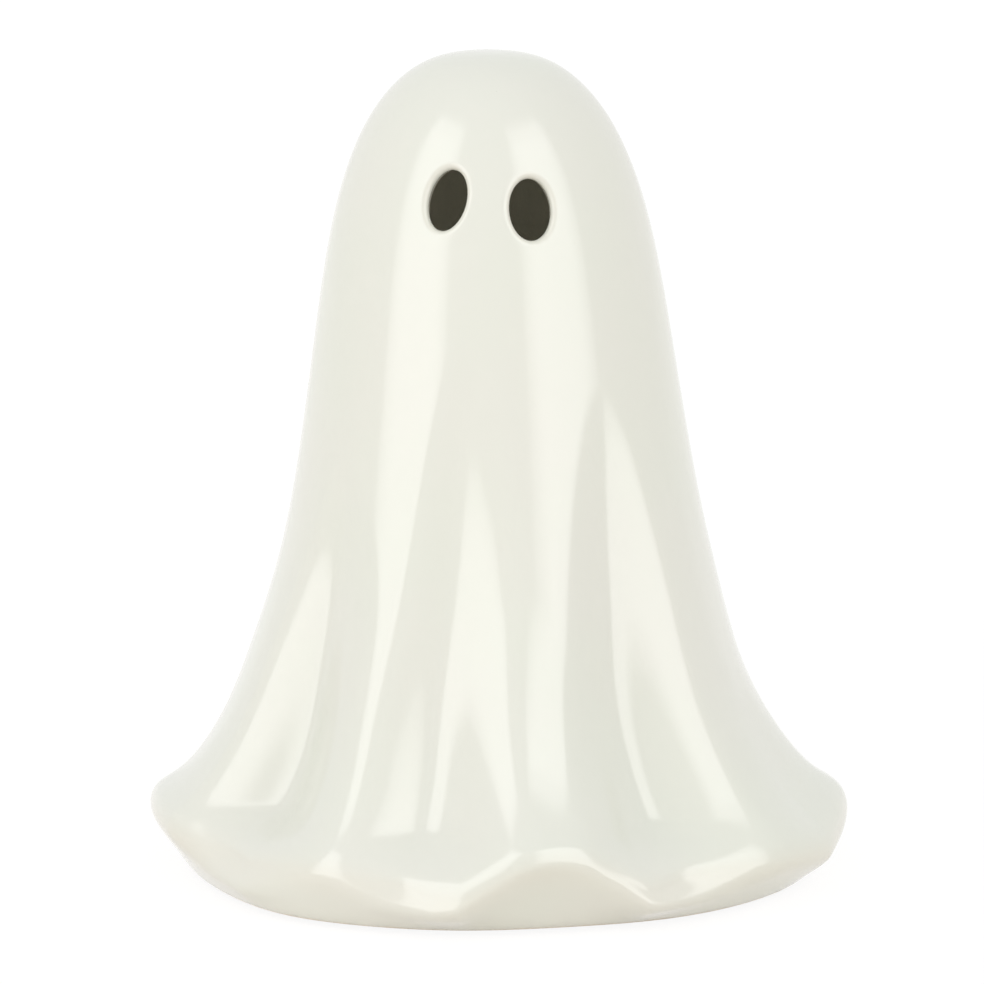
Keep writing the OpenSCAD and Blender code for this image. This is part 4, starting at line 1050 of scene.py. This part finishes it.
class GHOST_OT_lamp(bpy.types.Operator):
    """Builds the frosted cap, the lamp and its leads"""
    bl_idname = "ghost.lamp"
    bl_label = "Lamp"
    bl_options = {"REGISTER", "UNDO"}

    def execute(self, context):
        low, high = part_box("lamp_cap")
        r, wall, h = (high.x - low.x) / 2, 1 * MM, high.z - low.z
        straight = h - r
        outside = [(r - wall, 0), (r - wall / 4, 0), (r, wall / 4), (r, straight)]
        outside += [*quarter(r, 20, straight), (0, h)]
        inside = [(r - wall, 0), (r - wall, straight), *quarter(r - wall, 20, straight), (0, h - wall)]
        shape = Shape()
        shape.turn(outside + inside[::-1], Matrix.Translation((0, 0, low.z)), steps=72)
        shape.piece("frosted_cap", FIGURE, "frosted_plastic", [frosted((0.86, 0.86, 0.83, 1))], ["lamp_cap"])

        low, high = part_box("led_lamp")
        rim, r, h = (high.x - low.x) / 2, 2.5 * MM, high.z - low.z
        flat, steps = low.x + 0.4 * MM, 64
        shape = Shape()
        rings = [shape.ring([(0, 0, low.z)])]
        outline = [(rim * 0.9, 0), (rim, 0.1 * MM), (rim, 0.9 * MM), (rim * 0.97, 1 * MM)]
        outline += [(r * 1.02, 1.05 * MM), (r, 1.3 * MM), (r, h - r), *quarter(r, 12, h - r)]
        for radius, height in outline:
            ring = [circle(radius, k, steps) for k in range(steps)]
            rings.append(shape.ring((max(x, flat), y, low.z + height) for x, y in ring))
        rings.append(shape.ring([(0, 0, low.z + h)]))
        shape.skin(rings)
        shape.piece("lamp_lens", FIGURE, "lamp_resin", [lamp_resin()], ["led_lamp"])

        low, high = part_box("led_leads")
        thick = (high.y - low.y) / 2
        pitch = (high.x - low.x) / 2 - thick
        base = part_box("led_lamp")[0].z
        bend, cup_z = base + 1.6 * MM, base + 3.2 * MM
        shape = Shape()
        shape.tube(
            [(-pitch, 0, low.z), (-pitch, 0, bend), (-pitch * 0.5, 0, bend + 1 * MM), (-0.15 * MM, 0, cup_z)],
            [thick, thick, thick * 1.6, thick * 1.8])
        shape.tube(
            [(pitch, 0, low.z), (pitch, 0, bend), (pitch * 0.85, 0, base + 3.4 * MM),
             (pitch * 0.55, 0, base + 4.2 * MM)],
            [thick, thick, thick * 1.5, thick])
        cup = [(0, 0), (0.55, 0), (0.75, 0.65), (0.66, 0.65), (0.4, 0.2), (0, 0.2)]
        shape.turn([(r * MM, z * MM) for r, z in cup], Matrix.Translation((-0.35 * MM, 0, cup_z)), steps=32)
        shape.piece("lamp_frame", FIGURE, "tinned_wire", [tinned("lamp_wire")], ["led_leads"])
        return {"FINISHED"}


class GHOST_OT_board(bpy.types.Operator):
    """Finishes the circuit board, and builds its resistor and solder joints"""
    bl_idname = "ghost.board"
    bl_label = "Circuit board"
    bl_options = {"REGISTER", "UNDO"}

    def execute(self, context):
        unit = context.scene.ghost_unit
        refinish("circuit_board", board_laminate(unit.board))
        low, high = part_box("resistor")
        thick, body_r, half = 0.25 * MM, (high.y - low.y) / 2, 3.15 * MM
        leg = (high.x - low.x) / 2 - thick
        y, axis_z = (low.y + high.y) / 2, high.z - body_r
        shape = Shape()
        across = Matrix.Translation((0, y, axis_z)) @ Matrix.Rotation(pi / 2, 4, "Y")
        outline = [(0, -1), (0.35, -1), (0.8, -0.96), (1, -0.86), (1, -0.62), (0.84, -0.5), (0.8, 0)]
        outline += [(r, -z) for r, z in reversed(outline[:-1])]
        shape.turn([(r * body_r, z * half) for r, z in outline], across, steps=40)
        for way in (-1, 1):
            corners = [(way * half * 0.98, y, axis_z), (way * leg, y, axis_z), (way * leg, y, low.z)]
            shape.tube(rounded(corners, 0.9 * MM), thick, finish=1)
        finishes = [resistor_paint(-half, half), tinned("resistor_wire")]
        shape.piece("banded_resistor", FIGURE, "resistor_paint", finishes, ["resistor"])

        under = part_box("circuit_board")[0].z
        red, (low, high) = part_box("lead_red")[0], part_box("lead_switch")
        wire, lamp_leg = unit.wire, 1.27 * MM
        shape = Shape()
        # A joint for each leg of the lamp and the resistor, and for the ends of two wires
        spots = [
            (-lamp_leg, 0), (lamp_leg, 0), (-leg, y), (leg, y), (red.x + wire, red.y + wire),
            (low.x + wire, (low.y + high.y) / 2)]
        cone = [(0, -0.5), (0.28, -0.45), (0.42, -0.28), (0.8, -0.05), (0.95, 0), (0, 0)]
        for x, y in spots:
            shape.turn([(r * MM, z * MM) for r, z in cone], Matrix.Translation((x, y, under)), steps=28)
        shape.piece("solder_joints", FIGURE, "tinned_wire", [tinned("solder")])
        return {"FINISHED"}


class GHOST_OT_switch(bpy.types.Operator):
    """Finishes the switch case and its pins, and builds the ribbed knob"""
    bl_idname = "ghost.switch"
    bl_label = "Switch"
    bl_options = {"REGISTER", "UNDO"}

    def execute(self, context):
        unit = context.scene.ghost_unit
        refinish("switch_case", plated("switch_steel", unit.steel, (1, 0.06, 1), rough=0.3))
        refinish("switch_pins", plated("pin_brass", unit.brass, (1, 1, 0.1), rough=0.3, edge=0.08))
        low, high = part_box("switch_knob")
        middle = (low + high) / 2
        foot_z = high.z - 1.2 * MM
        half_w, half_l = 0.9 * MM, 1.3 * MM
        ribs, rib_half, rib_h = 4, 0.2 * MM, 0.6 * MM
        shape = Shape()
        shape.block((low.x, low.y, foot_z), (high.x, high.y, high.z), 0.12 * MM)
        shape.block((middle.x - half_w, middle.y - half_l, low.z + 0.3 * MM),
                    (middle.x + half_w, middle.y + half_l, foot_z + 0.3 * MM), 0.1 * MM)
        for k in range(ribs):
            rib = middle.y - half_l + (k + 0.5) * 2 * half_l / ribs
            shape.block((middle.x - half_w, rib - rib_half, low.z),
                        (middle.x + half_w, rib + rib_half, low.z + rib_h), 0.09 * MM)
        finish = moulded("knob_plastic", (0.022, 0.022, 0.024, 1), grain=0.2, rough=0.45, edge=0.1)
        shape.piece("ribbed_knob", KNOB, "knob_plastic", [finish], ["switch_knob"])
        return {"FINISHED"}


class GHOST_OT_contacts(bpy.types.Operator):
    """Finishes the sheet contacts, and winds the three contact springs"""
    bl_idname = "ghost.contacts"
    bl_label = "Contacts and springs"
    bl_options = {"REGISTER", "UNDO"}

    def execute(self, context):
        unit = context.scene.ghost_unit
        sheet = plated("contact_nickel", unit.nickel, (0.08, 1, 1), rough=0.24)
        for node in ("positive_terminal", "negative_terminal", "cell_bridges"):
            refinish(node, sheet)
        wire = plated("spring_nickel", unit.nickel, (1, 1, 1), rough=0.22, edge=0.05)
        turns, per_turn = 4, 40
        for n, way in CELL_WAYS:
            low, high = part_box(f"contact_spring_{n}")
            middle, thick = (low + high) / 2, unit.spring_wire
            foot = (high.x - low.x) / 2 - thick
            start, end = (low.y + thick, high.y - thick) if way > 0 else (high.y - thick, low.y + thick)
            path = []
            for k in range(turns * per_turn + 1):
                t = k / (turns * per_turn)
                settled = min(max((t - 0.12) / 0.78, 0), 1)
                x, z = circle(foot + (unit.spring_tip - foot) * t, k, per_turn)
                path.append((middle.x + x, start + (end - start) * (0.1 * t + 0.9 * settled), middle.z + z))
            shape = Shape()
            shape.tube(path, thick, sides=14)
            shape.piece(f"wound_spring_{n}", FIGURE, "contact_nickel", [wire], [f"contact_spring_{n}"])
        return {"FINISHED"}


class GHOST_OT_cells(bpy.types.Operator):
    """Builds the three cells with their jackets, rims and nubs"""
    bl_idname = "ghost.cells"
    bl_label = "Cells"
    bl_options = {"REGISTER", "UNDO"}

    def execute(self, context):
        unit = context.scene.ghost_unit
        steel = plated("cell_steel", unit.steel, (1, 1, 1), rough=0.22, edge=0.1)
        for n, way in CELL_WAYS:
            low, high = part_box(f"battery_{n}")
            r, long = (high.x - low.x) / 2, high.y - low.y
            x, z = (low.x + high.x) / 2, (low.z + high.z) / 2
            nub, nub_l = unit.nub, unit.nub_length
            nub_end = high.y if way > 0 else low.y
            start = Matrix.Translation((x, nub_end, z)) @ Matrix.Rotation(way * pi / 2, 4, "X")
            film = 0.12 * MM
            lid = [
                (0, 0), (0.8 * nub, 0), (0.97 * nub, 0.12 * nub_l), (nub, 0.35 * nub_l), (nub, nub_l),
                (1.25 * nub, 1.25 * nub_l), (0.66 * r, 1.25 * nub_l), (0.7 * r, 1.05 * nub_l),
                (0.86 * r, 1.05 * nub_l), (0.9 * r, 1.2 * nub_l)]
            jacket = [
                (0.9 * r, 1.2 * nub_l), (0.84 * r, nub_l + 0.3 * film), (0.9 * r, nub_l),
                (0.965 * r, nub_l + film), (r, nub_l + 5 * film), (0.988 * r, 3 * nub_l), (r, 4 * nub_l),
                (r, long - 6 * film), (0.96 * r, long - film), (0.86 * r, long), (0.8 * r, long - film)]
            bottom = [
                (0.8 * r, long - film), (0.62 * r, long - 2 * film), (0.58 * r, long - film),
                (0, long - film)]
            shape = Shape()
            for outline, finish in ((lid, 1), (jacket, 0), (bottom, 1)):
                shape.turn(outline, start, steps=64, finish=finish)
            finishes = [cell_jacket(unit.jacket, unit.band, low.y, high.y), steel]
            made = shape.piece(f"jacket_cell_{n}", FIGURE, "cell_jacket", finishes, [f"battery_{n}"])
            weld = bmesh.new()
            weld.from_mesh(made.data)
            bmesh.ops.remove_doubles(weld, verts=weld.verts[:], dist=1e-6)
            weld.to_mesh(made.data)
            weld.free()
        return {"FINISHED"}


class GHOST_OT_wires(bpy.types.Operator):
    """Builds the three insulated wires with their stripped ends"""
    bl_idname = "ghost.wires"
    bl_label = "Wires"
    bl_options = {"REGISTER", "UNDO"}

    def execute(self, context):
        unit = context.scene.ghost_unit
        r, bend = unit.wire, unit.bend
        boxes = {name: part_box(name) for name in ("lead_red", "lead_black", "lead_switch")}
        # The wires run at wire_z; two turn towards the switch at turn_x and end on its pins at start_z
        low, high = boxes["lead_red"]
        x, wire_z = low.x + r, high.z - r
        red = [(x, high.y, wire_z), (x, low.y + r, wire_z), (x, low.y + r, low.z)]
        low, high = boxes["lead_black"]
        start_z, turn_x = low.z + r, 20.1 * MM
        step_y = low.y + 5.25 * MM
        black = [(low.x + r, low.y, wire_z), (low.x + r, step_y, wire_z), (turn_x, step_y, wire_z),
                 (turn_x, high.y - r, wire_z), (turn_x, high.y - r, start_z), (high.x, high.y - r, start_z)]
        low, high = boxes["lead_switch"]
        y = (low.y + high.y) / 2
        switch = [(high.x, y, start_z), (turn_x, y, start_z), (turn_x, y, wire_z), (low.x + r, y, wire_z),
                  (low.x + r, y, low.z)]
        dark = insulation("wire_black", unit.black)
        copper = tinned("wire_strands")
        strip = 0.9 * MM
        for name, node, corners, finish, slot in (
                ("red_wire", "lead_red", red, insulation("wire_red", unit.red), "wire_red"),
                ("black_wire", "lead_black", black, dark, "wire_black"),
                ("switch_wire", "lead_switch", switch, dark, "wire_black")):
            path = rounded(corners, bend)
            first = (path[1] - path[0]).normalized() * strip
            last = (path[-2] - path[-1]).normalized() * min(strip, 0.5 * (path[-2] - path[-1]).length)
            shape = Shape()
            shape.tube([path[0] + first] + path[1:-1] + [path[-1] + last], r, sides=16)
            for end, way in ((path[0], first), (path[-1], last)):
                shape.tube([end, end + way * 0.5, end + way * 1.1], 0.55 * r, finish=1)
            shape.piece(name, FIGURE, slot, [finish, copper], [node])
        return {"FINISHED"}


def pale_floor(s):
    """A round floor that looks white to the camera and keeps a faint shadow."""
    shape = Shape()
    rings = [shape.ring([(0, 0, 0)])]
    for row in range(1, FLOOR_RINGS + 1):
        r = FLOOR_R * (row / FLOOR_RINGS) ** 2
        rings.append(shape.ring((*circle(r, k, FLOOR_STEPS), 0) for k in range(FLOOR_STEPS)))
    shape.skin(rings)
    mesh = bpy.data.meshes.new("floor")
    mesh.from_pydata(shape.points, [], shape.faces)
    floor = bpy.data.objects.new("floor", mesh)
    bpy.context.scene.collection.objects.link(floor)
    looks = looks_for("pale_floor")
    seen = looks.background_rays()
    paper = looks.noise(2 * MM, 2)
    matt = looks.node("ShaderNodeBsdfDiffuse", None, [looks.mix(paper, s.floor, shaded(s.floor, 0.99))])
    white = looks.node("ShaderNodeEmission", None, [(1, 1, 1, 1), PAPER_WHITE])
    away = looks.node("ShaderNodeVectorMath", {"operation": "LENGTH"}, [looks.place()], "Value")
    shadow = s.shadow * (1 - looks.step(away, SHADOW_FULL, SHADOW_GONE))
    surface = looks.node("ShaderNodeMixShader", None, [seen * (1 - shadow), matt, white])
    looks.node("ShaderNodeOutputMaterial", None, [surface])
    mesh.materials.append(looks.owner)


def white_room(s):
    """Even light from all sides, and a white background."""
    world = bpy.data.worlds.new("white_room")
    bpy.context.scene.world = world
    looks = Looks(world)
    light, white = (
        looks.node("ShaderNodeBackground", None, [(1, 1, 1, 1), bright]) for bright in (s.room, 1.0))
    around_it = looks.node("ShaderNodeMixShader", None, [looks.background_rays(), light, white])
    looks.node("ShaderNodeOutputWorld", None, [around_it])


def soft_box(name, box, bright, away=BOX_AWAY, share=1.0, high=BOX_HIGH, matt=True, gloss=True):
    """An upright area lamp; it can be seen on matt surfaces alone, or in reflections alone."""
    azimuth, half_angle = box
    light = bpy.data.lights.new(name, "AREA")
    light.shape = "RECTANGLE"
    light.size, light.size_y = 2 * away * tan(radians(half_angle * share)), high - BOX_LOW
    light.energy = bright * pi * light.size * light.size_y
    lamp = bpy.data.objects.new(name, light)
    a, middle = radians(azimuth), Vector((0, 0, (BOX_LOW + high) / 2))
    lamp.location = middle + away * Vector((sin(a), -cos(a), 0))
    lamp.rotation_euler = (middle - lamp.location).to_track_quat("-Z", "Y").to_euler()
    lamp.visible_diffuse, lamp.visible_glossy = matt, gloss
    bpy.context.scene.collection.objects.link(lamp)


def view_camera(s):
    """The camera at the photograph's angle."""
    camera = bpy.data.cameras.new("camera")
    camera.lens = camera.sensor_width * s.view_distance / s.view_width
    camera.shift_x = VIEW_SHIFT
    camera.clip_start, camera.clip_end = 0.01, 50
    eye = bpy.data.objects.new("camera", camera)
    middle = Vector((0, 0, s.view_middle))
    eye.location = middle + s.view_distance * Vector((0, -cos(s.view_angle), sin(s.view_angle)))
    eye.rotation_euler = (middle - eye.location).to_track_quat("-Z", "Y").to_euler()
    bpy.context.scene.collection.objects.link(eye)
    bpy.context.scene.camera = eye


class GHOST_OT_stage(bpy.types.Operator):
    """Sets up the floor, the white room, the soft boxes and the camera"""
    bl_idname = "ghost.stage"
    bl_label = "Stage"
    bl_options = {"REGISTER", "UNDO"}

    def execute(self, context):
        s = context.scene.ghost_stage
        pale_floor(s)
        white_room(s)
        soft_box("left_soft_box", LEFT_BOX, s.left)
        soft_box("right_soft_box", RIGHT_BOX, s.right)
        # The boxes shine less towards their edges and tops: nested sheens, each a little smaller
        for side, box, sheen in (("left", LEFT_BOX, s.left_sheen), ("right", RIGHT_BOX, s.right_sheen)):
            for k, share in enumerate(SHEENS):
                soft_box(
                    f"{side}_sheen_{k + 1}", box, sheen / len(SHEENS), SHEEN_AWAY + SHEEN_GAP * k, share,
                    SHEEN_HIGH * share, matt=False)
        soft_box("front_fill", FRONT_BOX, s.front, high=FRONT_HIGH, gloss=False)
        view_camera(s)
        context.scene.view_settings.view_transform = "Standard"
        return {"FINISHED"}


BUILDERS = (
    GHOST_OT_body, GHOST_OT_pads, GHOST_OT_glue, GHOST_OT_housing, GHOST_OT_screws, GHOST_OT_lamp,
    GHOST_OT_board, GHOST_OT_switch, GHOST_OT_contacts, GHOST_OT_cells, GHOST_OT_wires, GHOST_OT_stage,
)
GROUPS = (
    ("ghost_body", GhostBodySizes), ("ghost_eyes", GhostEyeSizes), ("ghost_unit", GhostUnitLooks),
    ("ghost_stage", GhostStageLooks),
)


class GHOST_PT_panel(bpy.types.Panel):
    """Lists the sizes, the colours and the builders"""
    bl_idname = "GHOST_PT_panel"
    bl_label = "Ceramic Ghost"
    bl_space_type = "VIEW_3D"
    bl_region_type = "UI"
    bl_category = "Ghost"

    def draw(self, context):
        for builder in BUILDERS:
            self.layout.operator(builder.bl_idname)
        for name, group in GROUPS:
            box = self.layout.box()
            box.label(text=group.__doc__)
            for key in group.__annotations__:
                box.prop(getattr(context.scene, name), key)


def register():
    """Adds the groups, the operators and the panel to Blender."""
    for name, group in GROUPS:
        bpy.utils.register_class(group)
        setattr(bpy.types.Scene, name, bpy.props.PointerProperty(type=group))
    for made in (*BUILDERS, GHOST_PT_panel):
        bpy.utils.register_class(made)


def unregister():
    """Takes them out again, last one first."""
    for made in (GHOST_PT_panel, *reversed(BUILDERS)):
        bpy.utils.unregister_class(made)
    for name, group in reversed(GROUPS):
        delattr(bpy.types.Scene, name)
        bpy.utils.unregister_class(group)


def main():
    """Registers the groups, the operators and the panel, and builds everything in order."""
    register()
    for builder in BUILDERS:
        family, name = builder.bl_idname.split(".")
        getattr(getattr(bpy.ops, family), name)()


if __name__ == "__main__":
    main()
